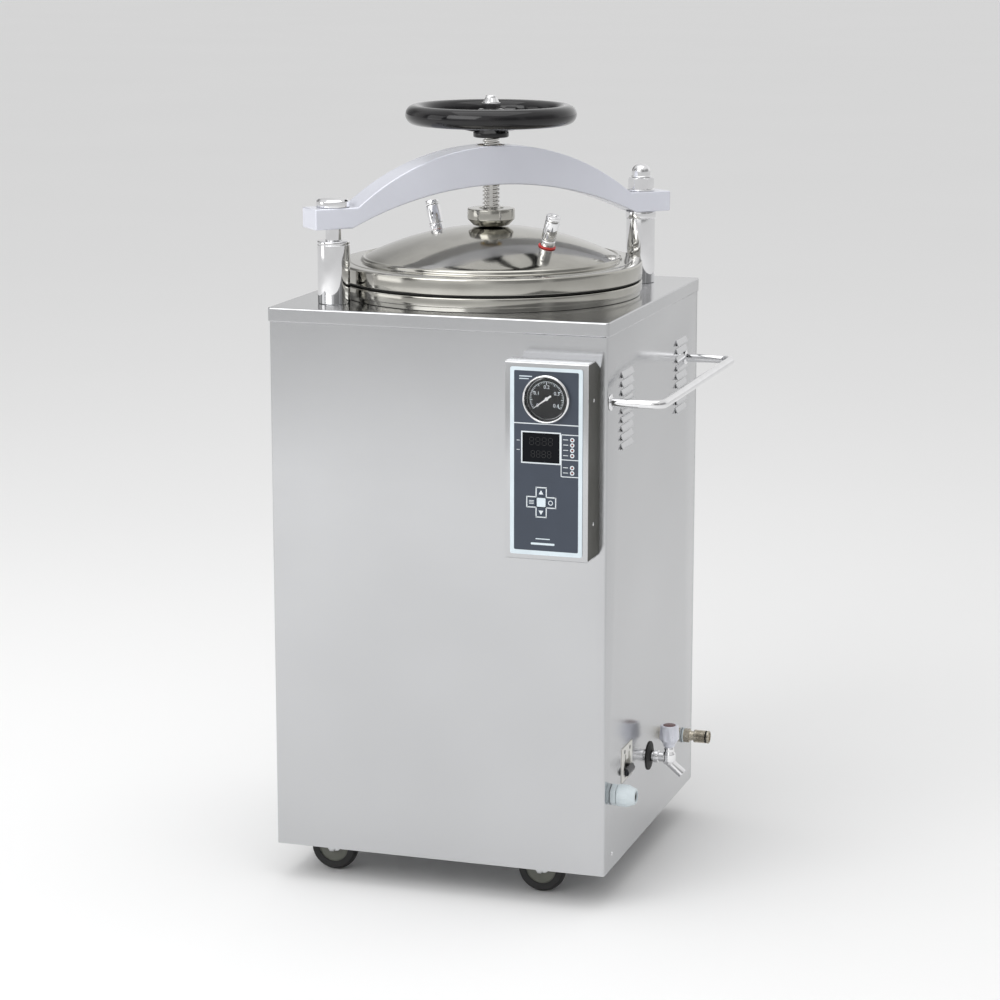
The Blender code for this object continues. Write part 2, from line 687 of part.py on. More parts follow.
def basket_bail():
    """Half-round carrying handle, lying folded over the basket's mouth."""
    reach = BASKET_RADIUS - BASKET_WALL - BAIL_TUBE - BAIL_CLEARANCE
    end = BASKET_RADIUS + BAIL_CLEARANCE
    points = [(end, 0, 0)]
    points += [(x, y, 0) for x, y in arc((0, 0), reach, 0, pi, 15)]
    points += [(-end, 0, 0)]
    bail = tube("basket_bail", points, BAIL_TUBE, chrome())
    bail.location = (0, 0, BASKET_RIM + EAR_HEIGHT / 2)
    return bail


def drain_pipe():
    """From the chamber's drain down and across to the tap."""
    height = GROUND_CLEARANCE + TAP_HEIGHT
    top = CHAMBER_FLOOR - CHAMBER_WALL - GAP
    bend = (top - height) / 2
    end = PANEL_X - SHEET - THREAD_INSIDE - GAP
    turn = arc((bend, height + bend), bend, pi, 1.5 * pi, 6)
    points = [(0, 0, top)]
    points += [(x, TAP_Y * x / bend, z) for x, z in turn]
    points += [(end, TAP_Y, height)]
    return tube("drain_pipe", points, TAP_STEM_RADIUS, material("copper", (0.72, 0.42, 0.28), 0.3, 1.0))


# Pillars ------------------------------------------------------------------------------------


def on_pillar(name, profile, surface, side):
    place = (side * PILLAR_OFFSET, side * PILLAR_OFFSET, 0)
    return finished(name, turned(profile, MEDIUM), surface, place)


def sleeve_profile(outer, height):
    inner = ROD_RADIUS + RUNNING
    low, high = COVER_TOP + GAP, COVER_TOP + height
    return [(inner, low), (outer, low), (outer, high - BEVEL), (outer - BEVEL, high), (inner, high)]


def rod_foot():
    """The rod's lower end and the nut under the anchor's ear."""
    ear_under = ANCHOR_TOP - ANCHOR_THICKNESS - GAP
    nut = ROD_RADIUS * 1.6
    foot = ear_under - ANCHOR_THICKNESS
    return [(0, foot), (nut, foot), (nut, ear_under), (ROD_RADIUS, ear_under)]


def left_sleeve():
    outer = ROD_RADIUS + RUNNING + SLEEVE_WALL_LEFT
    return on_pillar("left_sleeve", sleeve_profile(outer, LEFT_SLEEVE_HEIGHT), chrome(), -1)


def left_rod():
    """Rod whose button head holds the beam's hooked end down."""
    under = BEAM_END_TOP + GAP
    top = under + BUTTON_HEIGHT
    head = [
        (ROD_RADIUS, under),
        (BUTTON_RADIUS - BEVEL, under),
        (BUTTON_RADIUS, under + BEVEL),
        (BUTTON_RADIUS, top - 2 * BEVEL),
        (BUTTON_RADIUS - BEVEL, top - BEVEL),
        (BUTTON_RADIUS / 2, top - BEVEL / 4),
        (0, top),
    ]
    return on_pillar("left_rod", rod_foot() + head, chrome(), -1)


def right_sleeve():
    """Sleeve with the turned collar that the beam's pivot end rides on."""
    inner = ROD_RADIUS + RUNNING
    low, high = COVER_TOP + GAP, BEAM_BOTTOM - GAP
    step = high - RIGHT_COLLAR_HEIGHT
    collar = RIGHT_SLEEVE_RADIUS + RIGHT_COLLAR_PROUD
    profile = [
        (inner, low),
        (RIGHT_SLEEVE_RADIUS, low),
        (RIGHT_SLEEVE_RADIUS, step - BEVEL),
        (RIGHT_SLEEVE_RADIUS - BEVEL, step),
        (collar, step),
        (collar, high - BEVEL / 2),
        (collar - BEVEL / 2, high),
        (inner, high),
    ]
    return on_pillar("right_sleeve", profile, chrome(), 1)


def right_rod():
    top = BEAM_END_TOP + GAP + WASHER_THICKNESS + NUT_HEIGHT + CAP_HEIGHT / 2
    end = [(ROD_RADIUS, top - BEVEL), (ROD_RADIUS - BEVEL, top), (0, top)]
    return on_pillar("right_rod", rod_foot() + end, chrome(), 1)


def pillar_washer():
    low = BEAM_END_TOP + GAP
    high = low + WASHER_THICKNESS
    inner = ROD_RADIUS + RUNNING
    profile = [(inner, low), (WASHER_RADIUS, low), (WASHER_RADIUS, high), (inner, high)]
    return on_pillar("pillar_washer", profile, chrome(), 1)


def pillar_nut():
    low = BEAM_END_TOP + 2 * GAP + WASHER_THICKNESS
    corners = arc((0, 0), NUT_CORNER_RADIUS, radians(15), radians(315), 6)
    place = (PILLAR_OFFSET, PILLAR_OFFSET, low)
    nut = finished("pillar_nut", prism(corners, NUT_HEIGHT - GAP), chrome(), place)
    hole = rod(ROD_RADIUS + RUNNING, low - NUT_HEIGHT, low + 2 * NUT_HEIGHT, MEDIUM)
    return cut(nut, moved(hole, Matrix.Translation((PILLAR_OFFSET, PILLAR_OFFSET, 0))))


def pillar_cap():
    """Domed cap with a blind bore for the rod's end."""
    low = BEAM_END_TOP + 2 * GAP + WASHER_THICKNESS + NUT_HEIGHT
    top = low + CAP_HEIGHT - GAP
    bore_top = low + CAP_HEIGHT / 2 + RUNNING
    straight = top - CAP_RADIUS * 0.8
    dome = [(CAP_RADIUS * cos(turn), straight + CAP_RADIUS * 0.8 * sin(turn))
            for turn in (0, pi / 8, pi / 4, 3 * pi / 8)]
    bore = ROD_RADIUS + RUNNING
    profile = [(0, bore_top), (bore, bore_top), (bore, low), (CAP_RADIUS, low)] + dome + [(0, top)]
    return on_pillar("pillar_cap", profile, chrome(), 1)


# Beam, screw and handwheel ------------------------------------------------------------------


def arch(half, rise, base, count):
    """A low arc over the chamber between two flats, left to right, as (s, height)."""
    radius = (half**2 + rise**2) / (2 * rise)
    reach = asin(half / radius)
    middle = (0, base + rise - radius)
    return arc(middle, radius, pi / 2 + reach, pi / 2 - reach, count)


def cross_beam():
    """Arched beam: it pivots on the right rod and hooks the left one through a rear slot."""
    end = PILLAR_SPAN / 2 + BEAM_END_LENGTH
    outline = [(-end, BEAM_BOTTOM)]
    outline += arch(ARCH_UNDER_HALF, ARCH_UNDER_RISE, BEAM_BOTTOM, 15)
    outline += [(end, BEAM_BOTTOM), (end, BEAM_END_TOP)]
    outline += reversed(arch(ARCH_TOP_HALF, ARCH_TOP_RISE, BEAM_END_TOP, 15))
    outline += [(-end, BEAM_END_TOP)]
    upright = Matrix.Rotation(pi / 4, 4, "Z") @ Matrix.Rotation(pi / 2, 4, "X")
    bm = moved(prism(outline, BEAM_WIDTH), upright @ Matrix.Translation((0, 0, -BEAM_WIDTH / 2)))
    beam = finished("cross_beam", bm, silver_enamel())
    low, high = BEAM_BOTTOM - BEAM_WIDTH, ARCH_TOP + BEAM_WIDTH
    pivot = moved(rod(ROD_RADIUS + RUNNING, low, high, MEDIUM),
                  Matrix.Translation((PILLAR_OFFSET, PILLAR_OFFSET, 0)))
    bush = rod(SCREW_RADIUS + RUNNING + BUSH_WALL + GAP, low, high, MEDIUM)
    hook = ROD_RADIUS + HOOK_CLEARANCE
    seat = [(hook, BEAM_WIDTH)] + arc((0, 0), hook, 0, -pi, 9) + [(-hook, BEAM_WIDTH)]
    to_left = Matrix.Rotation(pi / 4, 4, "Z") @ Matrix.Translation((-PILLAR_SPAN / 2, 0, low))
    slot = moved(prism(seat, high - low), to_left)
    cut(beam, pivot, bush, slot)
    return origin_to(beam, (PILLAR_OFFSET, PILLAR_OFFSET, 0))


def threaded_bush():
    inner = SCREW_RADIUS + RUNNING
    outer = inner + BUSH_WALL
    low, high = ARCH_UNDER + BEVEL, ARCH_TOP - BEVEL
    profile = [(inner, low), (outer, low), (outer, high), (inner, high)]
    return finished("threaded_bush", turned(profile, MEDIUM), material("brass", (0.70, 0.52, 0.25), 0.3, 1.0))


def dome(radius, sphere, crown):
    return crown - sphere + sqrt(sphere**2 - radius**2)


def valve_frame(angle):
    """The dome's outward direction and surface point at a valve."""
    tilt = asin(VALVE_CIRCLE / DOME_SPHERE)
    direction = Vector((sin(tilt) * cos(angle), sin(tilt) * sin(angle), cos(tilt)))
    base = Vector((0, 0, CROWN - DOME_SPHERE)) + DOME_SPHERE * direction
    return along(direction, base)


def lid():
    """Flange, raised step and shallow dome in one pressing, open underneath."""
    outer = [(DOME_RADIUS * step / 6, dome(DOME_RADIUS * step / 6, DOME_SPHERE, CROWN)) for step in range(7)]
    under_sphere = DOME_SPHERE - LID_WALL
    reach = DOME_RADIUS - LID_WALL
    inner = [(reach * step / 5, dome(reach * step / 5, under_sphere, CROWN - LID_WALL))
             for step in range(5, -1, -1)]
    edge = [
        (DOME_RADIUS + DOME_BEAD, DOME_BASE - BEVEL),
        (DOME_RADIUS + DOME_BEAD, LID_FLANGE_TOP),
        (FLANGE_RADIUS - BEVEL, LID_FLANGE_TOP),
        (FLANGE_RADIUS, LID_FLANGE_TOP - BEVEL),
        (FLANGE_RADIUS, LID_BOTTOM + BEVEL),
        (FLANGE_RADIUS - BEVEL, LID_BOTTOM),
        (CHAMBER_RADIUS, LID_BOTTOM),
        (reach, LID_BOTTOM + LID_FLANGE / 2),
    ]
    shell = finished("lid", turned(outer + edge + inner, ROUND), mirror_steel())
    reach = VALVE_STEM_LENGTH * 2
    holes = [moved(rod(VALVE_STEM_RADIUS + RUNNING, -reach, reach), valve_frame(angle))
             for angle in (SAFETY_VALVE_ANGLE, SAFETY_VALVE_ANGLE + pi)]
    return cut(shell, *holes)


def thrust_collar():
    """Collar on the crown that keeps the screw's tip."""
    low, high = CROWN + GAP, COLLAR_TOP
    neck = SCREW_NECK_RADIUS + RUNNING
    tip = SCREW_TIP_RADIUS + RUNNING
    ledge = low + SCREW_TIP_HEIGHT + 2 * RUNNING
    profile = [
        (neck, high),
        (COLLAR_RADIUS - BEVEL / 2, high),
        (COLLAR_RADIUS, high - BEVEL / 2),
        (COLLAR_RADIUS, low + COLLAR_CHAMFER * 1.5),
        (COLLAR_RADIUS - COLLAR_CHAMFER, low),
        (tip, low),
        (tip, ledge),
        (neck, ledge),
    ]
    return finished("thrust_collar", turned(profile, MEDIUM), mirror_steel())


def screw():
    """Lifting screw: captive tip, neck, threaded length and a spigot for the wheel."""
    tip = CROWN + GAP + RUNNING
    shoulder = tip + SCREW_TIP_HEIGHT
    spigot = HUB_TOP + TOP_NUT_HEIGHT / 2
    profile = [
        (0, tip),
        (SCREW_TIP_RADIUS, tip),
        (SCREW_TIP_RADIUS, shoulder),
        (SCREW_NECK_RADIUS, shoulder),
        (SCREW_NECK_RADIUS, COLLAR_TOP + GAP),
        (SCREW_RADIUS, COLLAR_TOP + GAP + BEVEL),
        (SCREW_RADIUS, HUB_BOTTOM - GAP),
        (SPIGOT_RADIUS, HUB_BOTTOM - GAP),
        (SPIGOT_RADIUS, spigot),
        (0, spigot),
    ]
    return finished("screw", turned(profile, MEDIUM), mirror_steel())


def handwheel():
    """Round-section rim, dished spokes and a boss."""
    rim_height = HUB_BOTTOM + WHEEL_RIM_ABOVE_HUB
    section = arc((WHEEL_RIM_RADIUS, rim_height), WHEEL_RIM_SECTION, 0, 2 * pi * 7 / 8, 8)
    wheel = finished("handwheel", turned(section, ROUND), black_gloss())
    bore = SPIGOT_RADIUS + RUNNING
    step = HUB_BOTTOM + HUB_HEIGHT / 2
    hub = turned(
        [
            (bore, HUB_BOTTOM),
            (HUB_RADIUS, HUB_BOTTOM),
            (HUB_RADIUS, step),
            (HUB_NOSE_RADIUS, HUB_TOP),
            (bore, HUB_TOP),
        ],
        MEDIUM,
    )
    parts = [hub]
    start = (HUB_NOSE_RADIUS + HUB_RADIUS) / 2
    low, high = HUB_BOTTOM + HUB_HEIGHT * 0.35, rim_height
    for number in range(SPOKE_COUNT):
        reach = WHEEL_RIM_RADIUS - start
        rise = high - low
        spoke = block((0, -SPOKE_WIDTH / 2, -SPOKE_THICKNESS / 2),
                      (hypot(reach, rise), SPOKE_WIDTH / 2, SPOKE_THICKNESS / 2))
        slope = Matrix.Translation((start, 0, low)) @ Matrix.Rotation(-atan2(rise, reach), 4, "Y")
        turn = Matrix.Rotation(2 * pi * number / SPOKE_COUNT + pi / 2, 4, "Z")
        parts.append(moved(spoke, turn @ slope))
    return join(wheel, *parts)


def top_nut():
    low = HUB_TOP + GAP
    top = low + TOP_NUT_HEIGHT
    bore = SPIGOT_RADIUS + RUNNING
    blind = low + TOP_NUT_HEIGHT / 2 + RUNNING
    profile = [
        (0, blind),
        (bore, blind),
        (bore, low),
        (TOP_NUT_RADIUS, low),
        (TOP_NUT_RADIUS, low + TOP_NUT_HEIGHT * 0.45),
        (TOP_NUT_RADIUS * 0.58, top - BEVEL),
        (TOP_NUT_RADIUS * 0.5, top),
        (0, top),
    ]
    return finished("top_nut", turned(profile, SMALL), chrome())


def valve(name, angle):
    """Body with its stem through the dome, and a cap that lifts along the same tilted axis."""
    place = valve_frame(angle)
    base = GAP * 3
    top = base + VALVE_BODY_HEIGHT
    guide = VALVE_BODY_RADIUS * 0.35
    body = [
        (0, -VALVE_STEM_LENGTH),
        (VALVE_STEM_RADIUS, -VALVE_STEM_LENGTH),
        (VALVE_STEM_RADIUS, base),
        (VALVE_BODY_RADIUS, base),
        (VALVE_BODY_RADIUS, top - BEVEL),
        (VALVE_BODY_RADIUS - BEVEL, top),
        (guide + RUNNING, top),
        (guide + RUNNING, top - VALVE_BODY_HEIGHT / 3),
        (0, top - VALVE_BODY_HEIGHT / 3),
    ]
    made = finished(name, turned(body, SMALL), chrome())
    made.matrix_world = place
    low = top + GAP
    high = low + VALVE_CAP_HEIGHT
    cap = [
        (0, low - VALVE_BODY_HEIGHT / 4),
        (guide, low - VALVE_BODY_HEIGHT / 4),
        (guide, low),
        (VALVE_BODY_RADIUS * 0.8, low),
        (VALVE_BODY_RADIUS * 0.9, high - BEVEL),
        (VALVE_BODY_RADIUS * 0.8, high),
        (0, high),
    ]
    lifted = finished(f"{name}_cap", turned(cap, SMALL), chrome())
    lifted.matrix_world = place
    return made, lifted


# Control box --------------------------------------------------------------------------------


def control_housing():
    """Folded box, open at the back, with its rear top edge cut back."""
    left = BOX_RIGHT - BOX_WIDTH
    bottom = BOX_TOP - BOX_HEIGHT
    back = FRONT_Y - GAP
    chamfer = [(back, BOX_TOP - BOX_CHAMFER_HEIGHT), (back - BOX_CHAMFER_DEPTH, BOX_TOP)]
    side = [(back, bottom)] + chamfer + [(BOX_FACE, BOX_TOP), (BOX_FACE, bottom)]
    across = Matrix(((0, 0, 1, left), (1, 0, 0, 0), (0, 1, 0, 0), (0, 0, 0, 1)))
    housing = finished("control_housing", moved(prism(side, BOX_WIDTH), across), satin_steel())
    wall = BOX_SHEET
    hollow_side = [
        (back + wall, bottom + wall),
        (back + wall, BOX_TOP - BOX_CHAMFER_HEIGHT - 2 * wall),
        (back - BOX_CHAMFER_DEPTH, BOX_TOP - wall),
        (BOX_FACE + wall, BOX_TOP - wall),
        (BOX_FACE + wall, bottom + wall),
    ]
    inset = Matrix.Translation((wall, 0, 0))
    hollow = moved(prism(hollow_side, BOX_WIDTH - 2 * wall), inset @ across)
    through = (BOX_FACE - wall, BOX_FACE + 2 * wall)
    gauge = gauge_place()
    ends = [(gauge[0], depth, gauge[2]) for depth in through]
    hole = bar_along(CASE_RADIUS + RUNNING, *ends, GAUGE_SIDES)
    openings = [panel_window(DISPLAY_WIDTH, DISPLAY_HEIGHT, display_place(), through)]
    for place in key_places().values():
        openings.append(panel_window(KEY_SIZE, KEY_SIZE, place, through))
    return cut(housing, hollow, hole, *openings)


def panel_window(width, height, place, through):
    """A cutter for what passes through the panel, with running play all round."""
    x, z = place
    low = (x - width / 2 - RUNNING, through[0], z - height / 2 - RUNNING)
    return block(low, (x + width / 2 + RUNNING, through[1], z + height / 2 + RUNNING))


def gauge_place():
    return (BOX_MIDDLE + GAUGE_SHIFT, MEMBRANE_FACE, BOX_TOP - GAUGE_DROP)


def display_place():
    return (BOX_MIDDLE + DISPLAY_SHIFT, BOX_TOP - DISPLAY_DROP)


def key_places():
    x, z = BOX_MIDDLE + KEY_PAD_SHIFT, BOX_TOP - KEY_PAD_DROP
    return {
        "key_up": (x, z + KEY_SPACING),
        "key_down": (x, z - KEY_SPACING),
        "key_left": (x - KEY_SPACING, z),
        "key_right": (x + KEY_SPACING, z),
    }


def membrane_panel():
    """Overlay on the box's face, cut out for the gauge, the display and the keys."""
    half = BOX_WIDTH / 2 - MEMBRANE_MARGIN
    low = (BOX_MIDDLE - half, MEMBRANE_FACE, BOX_TOP - BOX_HEIGHT + MEMBRANE_MARGIN)
    high = (BOX_MIDDLE + half, BOX_FACE - GAP, BOX_TOP - MEMBRANE_MARGIN)
    slate = material("slate_membrane", (0.045, 0.060, 0.085), 0.35)
    panel = finished("membrane_panel", block(low, high), slate)
    through = (MEMBRANE_FACE - MEMBRANE_THICKNESS, BOX_FACE + MEMBRANE_THICKNESS)
    x, y, z = gauge_place()
    tools = [bar_along(CASE_RADIUS + RUNNING, (x, through[0], z), (x, through[1], z), GAUGE_SIDES)]
    tools.append(panel_window(DISPLAY_WIDTH, DISPLAY_HEIGHT, display_place(), through))
    for place in key_places().values():
        tools.append(panel_window(KEY_SIZE, KEY_SIZE, place, through))
    return cut(panel, *tools)


def gauge_part(name, profile, surface):
    """Turned round the gauge's axis: heights count outwards from the panel's face."""
    made = finished(name, turned(profile, GAUGE_SIDES), surface)
    made.matrix_world = along((0, -1, 0), gauge_place())
    return made


def gauge_case():
    inner = BEZEL_RADIUS - BEZEL_WALL
    bore = CASE_RADIUS - BEZEL_WALL / 2
    floor = -CASE_DEPTH
    profile = [
        (0, floor),
        (CASE_RADIUS, floor),
        (CASE_RADIUS, GAP),
        (BEZEL_RADIUS, GAP),
        (BEZEL_RADIUS, BEZEL_PROUD / 2),
        (BEZEL_RADIUS - BEZEL_WALL / 2, BEZEL_PROUD),
        (inner, BEZEL_PROUD),
        (inner, GAP + DIAL_SINK),
        (bore, -DIAL_SINK - DIAL_THICKNESS - GAP),
        (0, -DIAL_SINK - DIAL_THICKNESS - GAP),
    ]
    return gauge_part("gauge_case", profile, chrome())


def disc(radius, low, high):
    return [(0, low), (radius, low), (radius, high), (0, high)]


def gauge_dial():
    radius = CASE_RADIUS - BEZEL_WALL / 2 - GAP
    profile = disc(radius, -DIAL_SINK - DIAL_THICKNESS, -DIAL_SINK)
    return gauge_part("gauge_dial", profile, material("dial_black", (0.02, 0.02, 0.022), 0.4))


def gauge_glass():
    radius = BEZEL_RADIUS - BEZEL_WALL - GAP
    high = BEZEL_PROUD - BEVEL
    profile = disc(radius, high - GLASS_THICKNESS, high)
    clear = material("clear_glass", (0.9, 0.95, 0.95), 0.03, 0.0, 0.2)
    return gauge_part("gauge_glass", profile, clear)


def gauge_needle():
    """Thin pointer with a hub and a broad tail, at the bottom of its scale."""
    low = GAP
    tail = NEEDLE_WIDTH
    outline = [
        (NEEDLE_LENGTH, 0),
        (0, NEEDLE_WIDTH / 2),
        (-NEEDLE_TAIL, tail),
        (-NEEDLE_TAIL, -tail),
        (0, -NEEDLE_WIDTH / 2),
    ]
    white = material("needle_white", (0.9, 0.9, 0.9), 0.4)
    pointer = moved(prism(outline, NEEDLE_THICKNESS), Matrix.Translation((0, 0, low)))
    needle = finished("gauge_needle", pointer, white)
    join(needle, rod(NEEDLE_HUB, low, low + 2 * NEEDLE_THICKNESS))
    facing = Matrix(((1, 0, 0, 0), (0, 0, -1, 0), (0, 1, 0, 0), (0, 0, 0, 1)))
    needle.matrix_world = Matrix.Translation(gauge_place()) @ facing @ Matrix.Rotation(NEEDLE_ZERO, 4, "Z")
    return needle


def display_window():
    x, z = display_place()
    low = (x - DISPLAY_WIDTH / 2, MEMBRANE_FACE, z - DISPLAY_HEIGHT / 2)
    high = (x + DISPLAY_WIDTH / 2, MEMBRANE_FACE + DISPLAY_THICKNESS, z + DISPLAY_HEIGHT / 2)
    return finished("display_window", block(low, high), black_gloss())


def key(name, place):
    x, z = place
    half = KEY_SIZE / 2
    cap = block((-half, -KEY_PROUD, -half), (half, KEY_DEPTH, half))
    navy = material("key_navy", (0.03, 0.045, 0.07), 0.4)
    return finished(name, cap, navy, (x, MEMBRANE_FACE, z))


# Fittings on the right side -----------------------------------------------------------------


def side_place(y, height):
    """A point on the right side's outer face."""
    return (PANEL_X, y, GROUND_CLEARANCE + height)


def side_turned(name, profile, surface, y, height):
    """Turned round an axis that stands straight out of the right side."""
    made = finished(name, turned(profile, SMALL), surface)
    made.matrix_world = along((1, 0, 0), side_place(y, height))
    return made


def cable_gland():
    """Threaded body through the panel, with its shoulder outside."""
    inside = -SHEET - THREAD_INSIDE
    profile = [
        (GLAND_BORE, inside),
        (GLAND_THREAD_RADIUS, inside),
        (GLAND_THREAD_RADIUS, GAP),
        (GLAND_RADIUS, GAP),
        (GLAND_RADIUS, GLAND_FLANGE_LENGTH),
        (GLAND_BORE, GLAND_FLANGE_LENGTH),
    ]
    white = material("white_nylon", (0.72, 0.76, 0.77), 0.4)
    return side_turned("cable_gland", profile, white, GLAND_Y, GLAND_HEIGHT)


def gland_cap():
    """Domed clamping nut with the cable's hole."""
    low = GLAND_FLANGE_LENGTH + GAP
    high = low + GLAND_CAP_LENGTH
    profile = [
        (GLAND_BORE, low),
        (GLAND_RADIUS, low),
        (GLAND_RADIUS, high - 5 * BEVEL),
        (GLAND_RADIUS * 0.85, high - 2 * BEVEL),
        (GLAND_RADIUS * 0.6, high),
        (GLAND_BORE, high),
    ]
    white = material("white_nylon", (0.72, 0.76, 0.77), 0.4)
    return side_turned("gland_cap", profile, white, GLAND_Y, GLAND_HEIGHT)


def lever_place():
    height = GROUND_CLEARANCE + BREAKER_HEIGHT - LEVER_DROP
    return (PANEL_X - LEVER_WELL / 2, BREAKER_Y, height)


def breaker_body():
    """Circuit breaker behind its window, with a well for the lever."""
    x, y, z = side_place(BREAKER_Y, BREAKER_HEIGHT)
    half_y, half_z = BREAKER_WIDTH / 2, BREAKER_TALL / 2
    low = (x - BREAKER_DEPTH, y - half_y, z - half_z)
    high = (x + BREAKER_PROUD, y + half_y, z + half_z)
    white = material("breaker_white", (0.80, 0.79, 0.76), 0.45)
    body = finished("breaker_body", block(low, high), white)
    pivot = lever_place()
    half = LEVER_WIDTH / 2 + RUNNING
    reach = LEVER_WELL / 2 + LEVER_THICKNESS
    well = block((pivot[0] - reach, y - half, pivot[2] - reach), (x + LEVER_WELL, y + half, pivot[2] + reach))
    return cut(body, well)


def breaker_lever():
    """Tie bar and toggle in one, resting low, which is off."""
    half = LEVER_THICKNESS / 2
    nose = arc((0, 0), half, pi / 2, 1.5 * pi, 6)
    outline = nose + [(LEVER_LENGTH, -half * 0.8), (LEVER_LENGTH, half * 0.8)]
    upright = Matrix.Rotation(pi / 2, 4, "X") @ Matrix.Translation((0, 0, -LEVER_WIDTH / 2))
    lever = finished("breaker_lever", moved(prism(outline, LEVER_WIDTH), upright), black_gloss())
    lever.matrix_world = Matrix.Translation(lever_place()) @ Matrix.Rotation(-LEVER_TILT, 4, "Y")
    return lever


def tap_escutcheon():
    inner = TAP_STEM_RADIUS + RUNNING
    high = GAP + ESCUTCHEON_THICKNESS
    profile = [(inner, GAP), (ESCUTCHEON_RADIUS, GAP), (ESCUTCHEON_RADIUS - BEVEL, high), (inner, high)]
    return side_turned("tap_escutcheon", profile, black_rubber(), TAP_Y, TAP_HEIGHT)


def tap_body():
    """Stem through the panel, upright barrel and a slanted open spout."""
    seat = GAP + ESCUTCHEON_THICKNESS + GAP
    profile = [
        (0, -SHEET - THREAD_INSIDE),
        (TAP_STEM_RADIUS, -SHEET - THREAD_INSIDE),
        (TAP_STEM_RADIUS, seat),
        (TAP_FLANGE_RADIUS, seat),
        (TAP_STEM_RADIUS * 1.3, seat + 3 * BEVEL),
        (TAP_STEM_RADIUS, seat + 5 * BEVEL),
        (TAP_STEM_RADIUS, TAP_REACH),
        (0, TAP_REACH),
    ]
    body = side_turned("tap_body", profile, chrome(), TAP_Y, TAP_HEIGHT)
    x, y, z = side_place(TAP_Y, TAP_HEIGHT)
    x += TAP_REACH
    barrel = bar_along(TAP_BARREL_RADIUS, (x, y, z - TAP_BARREL_BELOW), (x, y, z + TAP_BARREL_ABOVE))
    slant = Vector((sin(TAP_SPOUT_ANGLE), 0, -cos(TAP_SPOUT_ANGLE)))
    start = Vector((x, y, z + TAP_SPOUT_RADIUS / 2))
    spout = bar_along(TAP_SPOUT_RADIUS, start, start + TAP_SPOUT_LENGTH * slant)
    join(body, barrel, spout)
    depth = TAP_SPOUT_LENGTH * 0.55
    bore_start = start + (TAP_SPOUT_LENGTH - depth) * slant
    bore = bar_along(TAP_SPOUT_BORE, bore_start, start + TAP_SPOUT_LENGTH * 1.2 * slant)
    return cut(body, bore)


def tap_knob():
    """Fluted knob, narrower at its foot."""
    place = Vector(side_place(TAP_Y, TAP_HEIGHT + TAP_BARREL_ABOVE)) + Vector((TAP_REACH, 0, GAP))
    profile = [
        (0, 0),
        (KNOB_RADIUS * 0.75, 0),
        (KNOB_RADIUS, KNOB_HEIGHT * 0.22),
        (KNOB_RADIUS * 0.93, KNOB_HEIGHT - BEVEL),
        (KNOB_RADIUS * 0.8, KNOB_HEIGHT),
        (0, KNOB_HEIGHT),
    ]
    return finished("tap_knob", turned(profile, SMALL), chrome(), place)


def exhaust_coupler():
    """Threaded stub, hexagon and the nose that a hose coupling plugs on to."""
    hex_end = EXHAUST_HEX_START + EXHAUST_HEX_LENGTH
    profile = [
        (EXHAUST_BORE, -SHEET - THREAD_INSIDE),
        (EXHAUST_THREAD_RADIUS, -SHEET - THREAD_INSIDE),
        (EXHAUST_THREAD_RADIUS, hex_end),
        (EXHAUST_NOSE_RADIUS, hex_end),
        (EXHAUST_NOSE_RADIUS, EXHAUST_LENGTH - BEVEL),
        (EXHAUST_BORE, EXHAUST_LENGTH - BEVEL),
    ]
    body = side_turned("exhaust_coupler", profile, nickel(), EXHAUST_Y, EXHAUST_HEIGHT)
    corners = prism(arc((0, 0), EXHAUST_HEX_RADIUS, 0, radians(300), 6), EXHAUST_HEX_LENGTH)
    hole = rod(EXHAUST_THREAD_RADIUS - RUNNING, -EXHAUST_LENGTH, EXHAUST_LENGTH)
    start = Vector(side_place(EXHAUST_Y, EXHAUST_HEIGHT)) + Vector((EXHAUST_HEX_START, 0, 0))
    hexagon = finished("hexagon", corners, nickel())
    cut(hexagon, hole)
    ring = bmesh.new()
    ring.from_mesh(hexagon.data)
    bpy.data.objects.remove(hexagon)
    return join(body, moved(ring, along((1, 0, 0), start)))


def exhaust_sleeve():
    """Sprung outer sleeve, pulled towards the panel to let a coupling go."""
    low = EXHAUST_HEX_START + EXHAUST_HEX_LENGTH + SLEEVE_TRAVEL + RUNNING
    high = EXHAUST_LENGTH
    inner = EXHAUST_NOSE_RADIUS + RUNNING
    profile = [
        (inner, low),
        (SLEEVE_RADIUS - BEVEL, low),
        (SLEEVE_RADIUS, low + BEVEL),
        (SLEEVE_RADIUS, high - 2 * BEVEL),
        (SLEEVE_RADIUS - BEVEL, high),
        (inner, high),
    ]
    return side_turned("exhaust_sleeve", profile, nickel(), EXHAUST_Y, EXHAUST_HEIGHT)


def side_handle():
    """Round bar bent to a U, standing out of the right side."""
    height = COVER_TOP - HANDLE_DROP
    bar = PANEL_X + HANDLE_REACH
    front, rear = HANDLE_Y
    bend = HANDLE_BEND
    plan = [(PANEL_X + GAP, front)]
    plan += arc((bar - bend, front + bend), bend, -pi / 2, 0, 5)
    plan += arc((bar - bend, rear - bend), bend, 0, pi / 2, 5)
    plan += [(PANEL_X + GAP, rear)]
    return tube("side_handle", [(x, y, height) for x, y in plan], HANDLE_TUBE, chrome(), 3)


# Castors ------------------------------------------------------------------------------------


